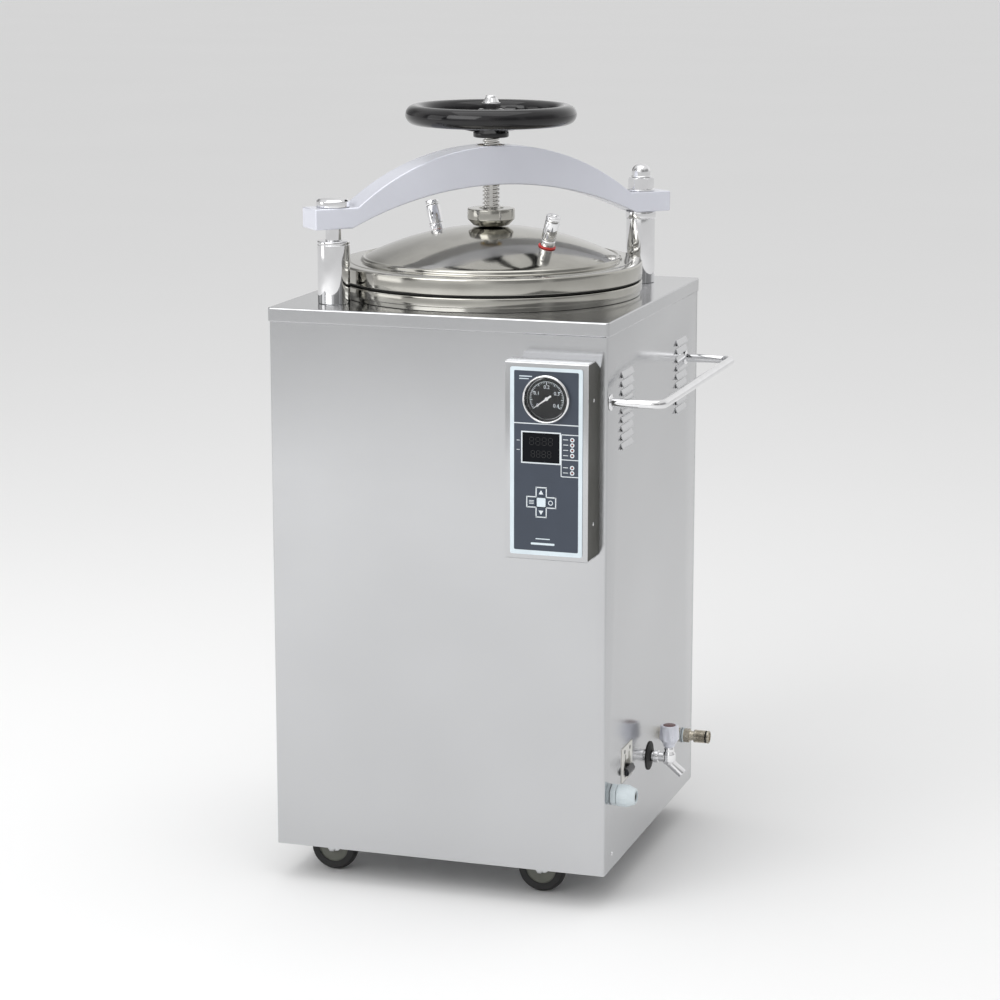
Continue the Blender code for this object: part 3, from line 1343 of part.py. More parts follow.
def castor_fork(name, x, y):
    """Swivel fork: king pin, race, bridge, two cheeks and the axle between them."""
    top = CASTOR_HEIGHT - GAP
    race_low = top - RACE_HEIGHT
    bridge_low = race_low - FORK_SHEET
    bridge_middle = race_low - FORK_SHEET / 2
    head = CASTOR_HEIGHT + TRAY_PLATE + GAP
    profile = [
        (0, bridge_middle),
        (RACE_RADIUS, bridge_middle),
        (RACE_RADIUS, top - BEVEL),
        (RACE_RADIUS - BEVEL, top),
        (KING_PIN_RADIUS, top),
        (KING_PIN_RADIUS, head),
        (KING_HEAD_RADIUS, head),
        (KING_HEAD_RADIUS, head + KING_HEAD_HEIGHT),
        (0, head + KING_HEAD_HEIGHT),
    ]
    fork = finished(name, turned(profile, SMALL), chrome())
    inner = WHEEL_WIDTH / 2 + WHEEL_GAP
    outer = inner + FORK_SHEET
    reach = RACE_RADIUS + FORK_LIP
    foot = arc((-CASTOR_TRAIL, WHEEL_RADIUS), 2.2 * AXLE_RADIUS, pi, 2 * pi, 5)
    cheek = foot + [(RACE_RADIUS * 0.8, bridge_middle), (-RACE_RADIUS, bridge_middle)]
    upright = Matrix.Rotation(pi / 2, 4, "X")
    parts = [block((-reach, -outer - FORK_LIP, bridge_low), (reach, outer + FORK_LIP, race_low))]
    for side in (-outer, inner):
        parts.append(moved(prism(cheek, FORK_SHEET), Matrix.Translation((0, side + FORK_SHEET, 0)) @ upright))
    middle = (-CASTOR_TRAIL, WHEEL_RADIUS)
    end = outer + BEVEL
    parts.append(bar_along(AXLE_RADIUS, (middle[0], -end, middle[1]), (middle[0], end, middle[1])))
    join(fork, *parts)
    fork.location = (x, y, 0)
    return fork


def castor_wheel(name, x, y):
    """Tyred wheel, trailing behind its swivel axis."""
    half = WHEEL_WIDTH / 2
    bore = AXLE_RADIUS + RUNNING
    rim = WHEEL_RADIUS * 0.6
    dish = half * 0.7
    profile = [
        (bore, half),
        (AXLE_RADIUS * 2.2, half),
        (rim, dish),
        (rim + BEVEL, half),
        (WHEEL_RADIUS * 0.9, half),
        (WHEEL_RADIUS, half * 0.55),
    ]
    profile += [(radius, -height) for radius, height in reversed(profile)]
    wheel = finished(name, turned(profile, MEDIUM), black_rubber())
    wheel.matrix_world = along((0, 1, 0), (x - CASTOR_TRAIL, y, WHEEL_RADIUS))
    return wheel


# The whole ----------------------------------------------------------------------------------


def outline_middle():
    """The plan's middle: the push handle and the gauge reach furthest."""
    left = -CABINET_WIDTH / 2 - GAP - COVER_SHEET
    right = PANEL_X + HANDLE_REACH + HANDLE_TUBE
    front = MEMBRANE_FACE - BEZEL_PROUD
    back = CABINET_DEPTH / 2 + GAP + COVER_SHEET
    return Vector(((left + right) / 2, (front + back) / 2, 0))


def build():
    for old in list(bpy.data.objects):
        bpy.data.objects.remove(old, do_unlink=True)
    for make in (cabinet_shell, rear_panel, top_cover, floor_tray):
        make()
    for make in (chamber, lid_gasket, insulation_jacket, anchor_ring):
        make()
    for make in (heater, sieve_plate, basket, basket_bail, drain_pipe):
        make()
    for make in (left_sleeve, left_rod, right_sleeve, right_rod, pillar_washer, pillar_nut, pillar_cap):
        make()
    for make in (cross_beam, threaded_bush, lid, thrust_collar, screw, handwheel, top_nut):
        make()
    valve("safety_valve", SAFETY_VALVE_ANGLE)
    valve("vent_valve", SAFETY_VALVE_ANGLE + pi)
    for make in (control_housing, membrane_panel, gauge_case, gauge_dial, gauge_needle, gauge_glass):
        make()
    display_window()
    for name, place in key_places().items():
        key(name, place)
    for make in (cable_gland, gland_cap, breaker_body, breaker_lever):
        make()
    for make in (tap_escutcheon, tap_body, tap_knob, exhaust_coupler, exhaust_sleeve, side_handle):
        make()
    for corner, (x, y) in castor_places().items():
        castor_fork(f"castor_fork_{corner}", x, y)
        castor_wheel(f"castor_wheel_{corner}", x, y)
    carrier = bpy.data.objects.new("autoclave", None)
    pieces = list(bpy.context.scene.collection.objects)
    bpy.context.scene.collection.objects.link(carrier)
    for piece in pieces:
        piece.parent = carrier
    carrier.location = -outline_middle()
    bpy.context.view_layer.update()


build()
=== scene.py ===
"""A vertical hand-wheel autoclave on castors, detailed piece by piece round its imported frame."""

import json
from math import atan2, cos, hypot, pi, radians, sin, sqrt, tan

import bpy
from bpy.props import FloatProperty, FloatVectorProperty, IntProperty, PointerProperty
from mathutils import Matrix, Vector


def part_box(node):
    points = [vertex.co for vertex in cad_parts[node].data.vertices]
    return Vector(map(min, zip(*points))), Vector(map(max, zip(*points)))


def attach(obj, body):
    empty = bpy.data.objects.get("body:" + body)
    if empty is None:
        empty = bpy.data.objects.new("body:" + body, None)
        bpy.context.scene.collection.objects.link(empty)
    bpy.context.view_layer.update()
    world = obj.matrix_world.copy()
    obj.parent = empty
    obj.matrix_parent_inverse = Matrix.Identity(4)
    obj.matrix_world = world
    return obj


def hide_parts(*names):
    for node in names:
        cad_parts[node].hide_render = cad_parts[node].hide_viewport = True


bl_info = {
    "name": "Vertical Autoclave",
    "version": (1, 0, 0),
    "blender": (4, 5, 0),
    "location": "View3D > Sidebar > Autoclave",
    "description": "Builds the detailed pieces and finishes of a vertical autoclave",
    "category": "Object",
}

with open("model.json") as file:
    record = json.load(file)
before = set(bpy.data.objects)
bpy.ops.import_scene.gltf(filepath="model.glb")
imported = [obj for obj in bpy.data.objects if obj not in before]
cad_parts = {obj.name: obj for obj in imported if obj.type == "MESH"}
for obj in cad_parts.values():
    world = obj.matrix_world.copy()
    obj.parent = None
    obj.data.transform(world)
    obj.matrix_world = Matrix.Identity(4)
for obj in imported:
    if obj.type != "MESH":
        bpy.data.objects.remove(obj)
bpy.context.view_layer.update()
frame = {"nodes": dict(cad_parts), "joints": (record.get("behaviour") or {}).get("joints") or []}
NODES = frame["nodes"]


# Places taken from the frame ------------------------------------------------------------------


def low(node):
    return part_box(node)[0]


def high(node):
    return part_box(node)[1]


def middle(node):
    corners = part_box(node)
    return (corners[0] + corners[1]) / 2


def width(node):
    return high(node) - low(node)


AXIS = Vector((middle("chamber").x, middle("chamber").y, 0))
COVER_TOP = high("top_cover").z
SIDE_X = high("cabinet_shell").x
FRONT_Y = low("cabinet_shell").y
PANEL_Y = low("membrane_panel").y
PILLARS = {"left": middle("left_rod"), "right": middle("right_rod")}
JOINTS = {joint["name"]: joint for joint in frame["joints"]}


# Making pieces --------------------------------------------------------------------------------


def clear_selection():
    if bpy.context.mode != "OBJECT":
        bpy.ops.object.mode_set(mode="OBJECT")
    bpy.ops.object.select_all(action="DESELECT")


def pick(*pieces):
    """Selects these pieces only; the first is the active one."""
    clear_selection()
    for piece in pieces:
        piece.select_set(True)
    bpy.context.view_layer.objects.active = pieces[0]
    return pieces[0]


def editing(piece):
    pick(piece)
    bpy.ops.object.mode_set(mode="EDIT")
    return piece


def named(name):
    piece = bpy.context.active_object
    piece.name = name
    piece.data.name = name
    return piece


def begin(name):
    """A new piece that is one selected point at the origin, open for editing."""
    clear_selection()
    bpy.ops.mesh.primitive_plane_add(size=0.01, location=(0, 0, 0))
    piece = named(name)
    bpy.ops.object.mode_set(mode="EDIT")
    bpy.ops.mesh.select_all(action="SELECT")
    bpy.ops.mesh.merge(type="CENTER")
    bpy.ops.mesh.select_mode(type="VERT")
    return piece


def draw(points):
    """Moves the selected point to the first place and extrudes it through the rest."""
    bpy.ops.transform.translate(value=points[0])
    for start, end in zip(points, points[1:]):
        bpy.ops.mesh.extrude_region_move(TRANSFORM_OT_translate={"value": Vector(end) - Vector(start)})


def settle(piece, place=None, smooth=34, merge=2e-6):
    """Closes a piece: doubles merged, faces outwards, its place put in its mesh."""
    editing(piece)
    bpy.ops.mesh.select_all(action="SELECT")
    bpy.ops.mesh.remove_doubles(threshold=merge)
    bpy.ops.mesh.normals_make_consistent(inside=False)
    bpy.ops.object.mode_set(mode="OBJECT")
    if place is not None:
        piece.matrix_world = place
    bpy.ops.object.transform_apply(location=True, rotation=True, scale=True)
    bpy.ops.object.shade_smooth_by_angle(angle=radians(smooth))
    return piece


def filleted(points, closed=False, steps=4):
    """Rounds those corners of a flat outline that carry a third value, their radius."""
    rounded = []
    for index, point in enumerate(points):
        here = Vector(point[:2])
        at_end = not closed and index in (0, len(points) - 1)
        if len(point) < 3 or at_end:
            rounded.append(here)
            continue
        before = Vector(points[index - 1][:2]) - here
        after = Vector(points[(index + 1) % len(points)][:2]) - here
        half = before.angle(after) / 2
        if half > 1.56:
            rounded.append(here)
            continue
        reach = min(point[2] / tan(half), before.length * 0.49, after.length * 0.49)
        radius = reach * tan(half)
        centre = here + (before.normalized() + after.normalized()).normalized() * radius / sin(half)
        start = (here + before.normalized() * reach - centre).normalized()
        end = (here + after.normalized() * reach - centre).normalized()
        rounded += [centre + start.slerp(end, step / steps).normalized() * radius for step in range(steps + 1)]
    return rounded


def turned(name, profile, place=None, steps=96, closed=False, smooth=34):
    """A profile of (radius, height, fillet) spun once round Z, then put in place."""
    outline = filleted(profile, closed)
    if closed:
        outline.append(outline[0])
    piece = begin(name)
    draw([(point.x, 0, point.y) for point in outline])
    bpy.ops.mesh.select_all(action="SELECT")
    bpy.ops.mesh.spin(steps=steps, angle=2 * pi, center=(0, 0, 0), axis=(0, 0, 1))
    return settle(piece, place, smooth)


def prism(name, outline, depth, place=None, smooth=34):
    """A flat closed outline of (x, y, fillet) raised by depth along Z."""
    outline = filleted(outline, True)
    piece = begin(name)
    draw([(point.x, point.y, 0) for point in outline + outline[:1]])
    bpy.ops.mesh.select_all(action="SELECT")
    bpy.ops.mesh.remove_doubles(threshold=1e-6)
    bpy.ops.mesh.edge_face_add()
    bpy.ops.mesh.extrude_region_move(TRANSFORM_OT_translate={"value": (0, 0, depth)})
    return settle(piece, place, smooth)


def block(name, corner, opposite, edge=0.0, segments=2):
    """A box between two corners with rounded edges."""
    start, end = Vector(corner), Vector(opposite)
    clear_selection()
    bpy.ops.mesh.primitive_cube_add(size=1, location=(start + end) / 2, scale=end - start)
    piece = named(name)
    bpy.ops.object.transform_apply(location=True, rotation=True, scale=True)
    return bevelled(piece, edge, segments) if edge else piece


def apply(piece, kind, **settings):
    """Adds one modifier, sets it and applies it."""
    pick(piece)
    modifier = piece.modifiers.new(kind.title(), kind)
    for key, value in settings.items():
        setattr(modifier, key, value)
    bpy.ops.object.modifier_apply(modifier=modifier.name)
    return piece


def bevelled(piece, edge, segments=2, angle=30, smooth=34):
    apply(piece, "BEVEL", width=edge, segments=segments, limit_method="ANGLE",
          angle_limit=radians(angle), use_clamp_overlap=True)
    bpy.ops.object.shade_smooth_by_angle(angle=radians(smooth))
    return piece


def joined(name, *pieces):
    """Several shapes made one piece."""
    pick(*pieces)
    if len(pieces) > 1:
        bpy.ops.object.join()
    return named(name)


def cut(piece, *tools, smooth=34):
    """Cuts tools that don't touch each other out of a piece."""
    tool = joined("tool", *tools)
    apply(piece, "BOOLEAN", operation="DIFFERENCE", solver="EXACT", object=tool)
    bpy.data.objects.remove(tool)
    bpy.ops.object.shade_smooth_by_angle(angle=radians(smooth))
    return piece


def welded(piece, *others):
    """Joins solids that overlap into one skin."""
    for other in others:
        apply(piece, "BOOLEAN", operation="UNION", solver="EXACT", object=other)
        bpy.data.objects.remove(other)
    bpy.ops.object.shade_smooth_by_angle(angle=radians(34))
    return piece


def copy_of(piece, name, place):
    """A copy with its own mesh, moved in the mesh."""
    pick(piece)
    bpy.ops.object.duplicate()
    made = named(name)
    made.matrix_world = place
    bpy.ops.object.transform_apply(location=True, rotation=True, scale=True)
    return made


def refined(node, edge, segments=2):
    """A copy of a frame node with its flat faces whole and its edges rounded."""
    pick(NODES[node])
    bpy.ops.object.duplicate()
    piece = named(f"{node}_sheet")
    world = piece.matrix_world.copy()
    piece.parent = None
    piece.matrix_world = world
    for key in [key for key in piece.keys() if key.startswith("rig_")]:
        del piece[key]
    bpy.ops.object.mode_set(mode="EDIT")
    bpy.ops.mesh.select_all(action="SELECT")
    bpy.ops.mesh.remove_doubles(threshold=3e-6)
    bpy.ops.mesh.dissolve_limited(angle_limit=radians(0.5))
    bpy.ops.mesh.customdata_custom_splitnormals_clear()
    bpy.ops.object.mode_set(mode="OBJECT")
    return bevelled(piece, edge, segments)


def finish(piece, surface, body, nodes=()):
    """Gives a piece its finish, lets it ride and says which nodes it stands for."""
    piece.data.materials.clear()
    piece.data.materials.append(surface)
    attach(piece, body)
    if nodes:
        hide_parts(*nodes)
    return piece


def at(x, y, z):
    return Matrix.Translation((x, y, z))


def facing_front(x, z, y=None):
    """Local X stays, local Y is up and local Z comes out of the front."""
    return at(x, PANEL_Y if y is None else y, z) @ Matrix.Rotation(pi / 2, 4, "X")


def facing_side(y, z, x=None):
    """Local Z comes out of the right side, and local Y is up."""
    turn = Matrix(((0, 0, 1, 0), (1, 0, 0, 0), (0, 1, 0, 0), (0, 0, 0, 1)))
    return at(SIDE_X if x is None else x, y, z) @ turn


def towards(direction, start):
    turn = Vector((0, 0, 1)).rotation_difference(Vector(direction)).to_matrix().to_4x4()
    return Matrix.Translation(start) @ turn


def regular(count, radius, start=0.0, fillet=None):
    corners = [(radius * cos(start + 2 * pi * n / count), radius * sin(start + 2 * pi * n / count))
               for n in range(count)]
    return [(x, y, fillet) if fillet else (x, y) for x, y in corners]


def button_head(name, radius, height, place):
    """Small domed screw head with a cross recess."""
    head = turned(name, [(0, 0), (radius, 0), (radius * 0.92, height * 0.45, height * 0.3), (0, height)],
                  place, steps=20)
    arm, depth = radius * 0.55, height * 0.5
    bars = [block("bar", (-arm, -arm * 0.22, depth), (arm, arm * 0.22, height * 2)),
            block("bar", (-arm * 0.22, -arm, depth), (arm * 0.22, arm, height * 2))]
    for bar in bars:
        bar.matrix_world = place
        pick(bar)
        bpy.ops.object.transform_apply(location=True, rotation=True, scale=True)
        cut(head, bar)
    return head


# Finishes -------------------------------------------------------------------------------------


class Shading:
    """Builds one node material step by step."""

    def __init__(self, name, metallic=0.0, **constants):
        self.material = bpy.data.materials.new(name)
        self.material.use_nodes = True
        self.tree = self.material.node_tree
        self.shader = self.tree.nodes["Principled BSDF"]
        self.shader.inputs["Metallic"].default_value = metallic
        for socket, value in constants.items():
            self.shader.inputs[socket.replace("_", " ")].default_value = value
        self.place = self.tree.nodes.new("ShaderNodeTexCoord").outputs["Object"]

    def node(self, kind, **settings):
        made = self.tree.nodes.new(kind)
        for key, value in settings.items():
            setattr(made, key, value)
        return made

    def link(self, output, entry):
        self.tree.links.new(output, entry)

    def noise(self, scale, stretch=(1, 1, 1), detail=3.0, rough=0.5):
        """Noise in object space, drawn out along an axis by a small stretch."""
        mapping = self.node("ShaderNodeMapping")
        mapping.inputs["Scale"].default_value = stretch
        self.link(self.place, mapping.inputs["Vector"])
        texture = self.node("ShaderNodeTexNoise")
        texture.inputs["Scale"].default_value = scale
        texture.inputs["Detail"].default_value = detail
        texture.inputs["Roughness"].default_value = rough
        self.link(mapping.outputs["Vector"], texture.inputs["Vector"])
        return texture.outputs["Fac"]

    def spread(self, value, lowest, highest):
        remap = self.node("ShaderNodeMapRange")
        remap.inputs["From Min"].default_value = 0.3
        remap.inputs["From Max"].default_value = 0.7
        remap.inputs["To Min"].default_value = lowest
        remap.inputs["To Max"].default_value = highest
        self.link(value, remap.inputs["Value"])
        return remap.outputs["Result"]

    def blend(self, factor, first, second):
        mix = self.node("ShaderNodeMix", data_type="RGBA")
        mix.inputs["A"].default_value = (*first, 1)
        mix.inputs["B"].default_value = (*second, 1)
        self.link(factor, mix.inputs["Factor"])
        return mix.outputs["Result"]

    def colour(self, factor, first, second):
        self.link(self.blend(self.spread(factor, 0, 1), first, second), self.shader.inputs["Base Color"])

    def roughness(self, factor, lowest, highest):
        self.link(self.spread(factor, lowest, highest), self.shader.inputs["Roughness"])

    def bump(self, height, strength, distance):
        bump = self.node("ShaderNodeBump")
        bump.inputs["Strength"].default_value = strength
        bump.inputs["Distance"].default_value = distance
        self.link(height, bump.inputs["Height"])
        self.link(bump.outputs["Normal"], self.shader.inputs["Normal"])


def scaled(colour, factor):
    return tuple(min(1.0, channel * factor) for channel in colour)


def once(make):
    """Makes each finish the first time it is asked for."""
    kept = {}

    def ask(*values):
        if values not in kept:
            kept[values] = make(*values)
        return kept[values]

    return ask


def colours():
    return bpy.context.scene.autoclave_colours


@once
def satin_sheet(grain="across"):
    """Satin stainless: fine drawn grain, slow changes of tone from sheet rolling."""
    steel = tuple(colours().steel)
    shading = Shading(f"Satin stainless {grain}", 1.0)
    stretch = {"across": (0.02, 0.02, 1.0), "upright": (1.0, 1.0, 0.02)}[grain]
    grain_lines = shading.noise(900, stretch, 4, 0.6)
    clouds = shading.noise(3.5, detail=2)
    shading.colour(clouds, scaled(steel, 0.96), scaled(steel, 1.04))
    shading.roughness(grain_lines, 0.13, 0.20)
    shading.bump(grain_lines, 0.025, 0.00004)
    return shading.material


@once
def polished_steel(name="lid"):
    """Mirror polish with a breath of buffing haze."""
    shading = Shading(f"Polished stainless {name}", 1.0)
    haze = shading.noise(22, detail=3)
    buffing = shading.noise(260, (1, 1, 0.15), 3)
    shading.colour(haze, (0.42, 0.41, 0.375), (0.52, 0.51, 0.47))
    shading.roughness(haze, 0.09, 0.15)
    shading.bump(buffing, 0.05, 0.00004)
    return shading.material


@once
def bright_chrome():
    shading = Shading("Bright chrome", 1.0)
    haze = shading.noise(60, detail=2)
    shading.colour(haze, (0.80, 0.80, 0.81), (0.86, 0.86, 0.87))
    shading.roughness(haze, 0.035, 0.075)
    return shading.material


@once
def dull_nickel():
    shading = Shading("Dull nickel", 1.0)
    wear = shading.noise(180, detail=4)
    shading.colour(wear, (0.42, 0.38, 0.31), (0.58, 0.54, 0.46))
    shading.roughness(wear, 0.17, 0.32)
    shading.bump(wear, 0.08, 0.0001)
    return shading.material


@once
def silver_enamel():
    """Pale lavender-grey paint on a casting, with slight orange peel."""
    tone = tuple(colours().beam)
    shading = Shading("Silver enamel", 0.25, Coat_Weight=0.5, Coat_Roughness=0.12)
    peel = shading.noise(420, detail=2)
    clouds = shading.noise(9, detail=2)
    shading.colour(clouds, scaled(tone, 0.97), scaled(tone, 1.03))
    shading.roughness(clouds, 0.26, 0.34)
    shading.bump(peel, 0.02, 0.00004)
    return shading.material


@once
def black_gloss():
    shading = Shading("Black gloss moulding", 0.0, Coat_Weight=0.45, Coat_Roughness=0.03, Specular_IOR_Level=0.2)
    flow = shading.noise(35, detail=2)
    shading.colour(flow, (0.006, 0.006, 0.007), (0.013, 0.012, 0.013))
    shading.roughness(flow, 0.10, 0.18)
    return shading.material


@once
def rubber(tone=0.02):
    shading = Shading(f"Rubber {tone}")
    dust = shading.noise(120, detail=4)
    shading.colour(dust, (tone * 0.7,) * 3, (tone * 1.5,) * 3)
    shading.roughness(dust, 0.55, 0.75)
    shading.bump(dust, 0.15, 0.0002)
    return shading.material


@once
def moulded(name, red, green, blue, gloss=0.38):
    """Moulded plastic or printed film of one colour with a fine skin."""
    tone = (red, green, blue)
    shading = Shading(name)
    skin = shading.noise(700, detail=2)
    clouds = shading.noise(25, detail=2)
    shading.colour(clouds, scaled(tone, 0.94), scaled(tone, 1.05))
    shading.roughness(clouds, gloss * 0.88, gloss * 1.1)
    shading.bump(skin, 0.06, 0.00006)
    return shading.material


@once
def clear_glass():
    shading = Shading("Clear glass", 0.0, Transmission_Weight=1.0, IOR=1.12)
    wipe = shading.noise(40, detail=2)
    shading.colour(wipe, (0.96, 0.98, 0.98), (1.0, 1.0, 1.0))
    shading.roughness(wipe, 0.0, 0.015)
    return shading.material


@once
def metal(name, red, green, blue, gloss):
    """Plain machined or drawn metal with tool marks and tarnish."""
    tone = (red, green, blue)
    shading = Shading(name, 1.0)
    tarnish = shading.noise(45, detail=4)
    shading.colour(tarnish, scaled(tone, 0.85), scaled(tone, 1.08))
    shading.roughness(tarnish, gloss * 0.75, gloss * 1.3)
    shading.bump(shading.noise(500, (1, 1, 0.1), 3), 0.08, 0.00008)
    return shading.material


@once
def wool():
    shading = Shading("Mineral wool", 0.0, Sheen_Weight=0.3)
    fibres = shading.noise(240, (1, 1, 0.3), 6, 0.7)
    shading.colour(fibres, (0.55, 0.50, 0.36), (0.80, 0.77, 0.66))
    shading.roughness(fibres, 0.85, 0.98)
    shading.bump(fibres, 0.6, 0.0015)
    return shading.material


def slate():
    return moulded("Slate film", *colours().membrane, 0.34)


def print_white():
    return moulded("White print", 0.72, 0.77, 0.80, 0.4)


def border_film():
    return moulded("Pale border film", 0.68, 0.77, 0.82, 0.35)


# Settings -------------------------------------------------------------------------------------


class AutoclaveSizes(bpy.types.PropertyGroup):
    fold_radius: FloatProperty(name="Fold radius", description="Outside radius of the sheet folds",
                               default=0.0028, min=0.0005, max=0.008, unit="LENGTH")
    screw_pitch: FloatProperty(name="Screw pitch", description="Rise of the lifting screw in one turn",
                               default=0.005, min=0.003, max=0.008, unit="LENGTH")
    thread_depth: FloatProperty(name="Thread depth", description="Depth of the screw's thread",
                                default=0.0024, min=0.001, max=0.003, unit="LENGTH")
    louvre_reach: FloatProperty(name="Louvre reach", description="How far each louvre stands out",
                                default=0.0036, min=0.001, max=0.006, unit="LENGTH")
    knob_flutes: IntProperty(name="Knob flutes", description="Flats round the tap's knob",
                             default=8, min=6, max=16)
    camera_azimuth: FloatProperty(name="Camera azimuth", description="Turn of the camera to the right",
                                  default=radians(17.945), subtype="ANGLE")
    camera_elevation: FloatProperty(name="Camera elevation", description="Height angle of the camera",
                                    default=radians(11.854), subtype="ANGLE")
    camera_lens: FloatProperty(name="Camera lens", description="Focal length in millimetres",
                               default=105.12, min=30, max=300)


class AutoclaveColours(bpy.types.PropertyGroup):
    steel: FloatVectorProperty(name="Steel", description="Tone of the satin sheet", subtype="COLOR",
                               default=(0.54, 0.545, 0.555), min=0, max=1)
    beam: FloatVectorProperty(name="Beam", description="Enamel of the cross beam", subtype="COLOR",
                              default=(0.74, 0.755, 0.83), min=0, max=1)
    membrane: FloatVectorProperty(name="Membrane", description="Field of the control panel",
                                  subtype="COLOR", default=(0.040, 0.052, 0.075), min=0, max=1)
    # Box side colour is painted dark reflection: near black, it stands in for the dark surroundings that the control
    # box's sides reflect.
    painted_reflection_box_side: FloatVectorProperty(name="Box side", description="Sides of the control box",
                                  subtype="COLOR", default=(0.040, 0.040, 0.032), min=0, max=1)
    hub: FloatVectorProperty(name="Castor hub", description="Centres of the castor wheels",
                             subtype="COLOR", default=(0.16, 0.165, 0.14), min=0, max=1)
    floor: FloatVectorProperty(name="Floor", description="Pale studio floor", subtype="COLOR",
                               default=(0.90, 0.90, 0.90), min=0, max=1)


def sizes():
    return bpy.context.scene.autoclave_sizes


# Cabinet --------------------------------------------------------------------------------------

LOUVRE_ROWS = 9
LOUVRE_PITCH = 0.0112
LOUVRE_FIRST = 0.074  # below the cover's top
LOUVRE_LENGTH = 0.052
LOUVRE_FROM_FRONT = 0.086
LOUVRE_FROM_BACK = 0.087


def louvre_places():
    """(y, z) of each slot's upper edge on the right side."""
    back_y = high("rear_panel").y
    columns = (FRONT_Y + LOUVRE_FROM_FRONT, back_y - LOUVRE_FROM_BACK)
    return [(y, COVER_TOP - LOUVRE_FIRST - row * LOUVRE_PITCH) for y in columns for row in range(LOUVRE_ROWS)]


class AUTOCLAVE_OT_cabinet(bpy.types.Operator):
    """Wrap-round shell with rounded folds, slots and windows, and the plain rear panel"""

    bl_idname = "autoclave.cabinet"
    bl_label = "Cabinet"

    def execute(self, context):
        bottom, top = low("cabinet_shell"), high("cabinet_shell")
        half = (top.x - bottom.x) / 2
        sheet, fold = 0.002, sizes().fold_radius
        front, back = bottom.y - AXIS.y, top.y - AXIS.y
        side = [(half, front, fold), (half, back, 0.001), (half - 0.014, back),
                (half - 0.014, back - sheet), (half - sheet, back - sheet),
                (half - sheet, front + sheet, 0.001)]
        outline = side + [(-point[0], *point[1:]) for point in reversed(side)]
        shell = prism("cabinet_sheet", outline, top.z - bottom.z, at(AXIS.x, AXIS.y, bottom.z))
        tools = []
        for y, z in louvre_places():
            corner = (SIDE_X - 0.004, y - LOUVRE_LENGTH / 2, z - 0.0030)
            tools.append(block("slot", corner, (SIDE_X + 0.004, y + LOUVRE_LENGTH / 2, z + 0.0035)))
        start, end = low("breaker_body"), high("breaker_body")
        tools.append(block("window", (SIDE_X - 0.004, start.y - 0.001, start.z - 0.001),
                           (SIDE_X + 0.004, end.y + 0.001, end.z + 0.001)))
        for node, radius in (("cable_gland", 0.0105), ("tap_escutcheon", 0.0063), ("exhaust_coupler", 0.007)):
            centre = middle(node)
            tools.append(turned("hole", [(0, -0.004), (radius, -0.004), (radius, 0.004), (0, 0.004)],
                                facing_side(centre.y, centre.z), steps=40))
        box_low, box_high = low("control_housing"), high("control_housing")
        tools.append(block("window", (box_low.x + 0.016, FRONT_Y - 0.003, box_low.z + 0.016),
                           (box_high.x - 0.016, FRONT_Y + 0.004, box_high.z - 0.016)))
        cut(shell, *tools)
        finish(shell, satin_sheet("across"), "cabinet", ["cabinet_shell"])
        rear = refined("rear_panel", 0.0006)
        finish(rear, satin_sheet("across"), "cabinet", ["rear_panel"])
        screws = []
        for x in (-half + 0.008, 0.0, half - 0.008):
            for z in (bottom.z + 0.020, (bottom.z + top.z) / 2, top.z - 0.034):
                place = at(AXIS.x + x, high("rear_panel").y, z) @ Matrix.Rotation(-pi / 2, 4, "X")
                screws.append(button_head("rear_screw", 0.0028, 0.0014, place))
        for y in (FRONT_Y + 0.036, high("rear_panel").y - 0.036):
            screws.append(button_head("side_screw", 0.0028, 0.0016, facing_side(y, bottom.z + 0.019)))
        for y in (FRONT_Y + 0.036, high("rear_panel").y - 0.036):
            left = at(low("cabinet_shell").x, y, bottom.z + 0.019) @ Matrix.Rotation(-pi / 2, 4, "Y")
            screws.append(button_head("side_screw", 0.0028, 0.0016, left))
        finish(joined("cabinet_screws", *screws), bright_chrome(), "cabinet")
        return {"FINISHED"}


class AUTOCLAVE_OT_louvres(bpy.types.Operator):
    """Lanced flaps that stand out over their slots, open at both ends"""

    bl_idname = "autoclave.louvres"
    bl_label = "Louvres"

    def execute(self, context):
        reach, sheet, half = sizes().louvre_reach, 0.0011, LOUVRE_LENGTH / 2 - 0.0006
        root, lip = 0.0046, -0.0036
        section = [(-0.0006, root), (0.0002, root + 0.0004, 0.0005), (reach, lip + 0.0004, 0.0006),
                   (reach - sheet * 0.9, lip), (-0.0006, root - sheet * 1.6)]
        upright = Matrix.Rotation(pi / 2, 4, "X")
        first = prism("louvre", section, 2 * half, at(0, half, 0) @ upright)
        bevelled(first, 0.0003, 1, 50)
        flaps = [copy_of(first, "louvre", at(SIDE_X, y, z)) for y, z in louvre_places()]
        bpy.data.objects.remove(first)
        finish(joined("side_louvres", *flaps), satin_sheet("across"), "cabinet")
        return {"FINISHED"}


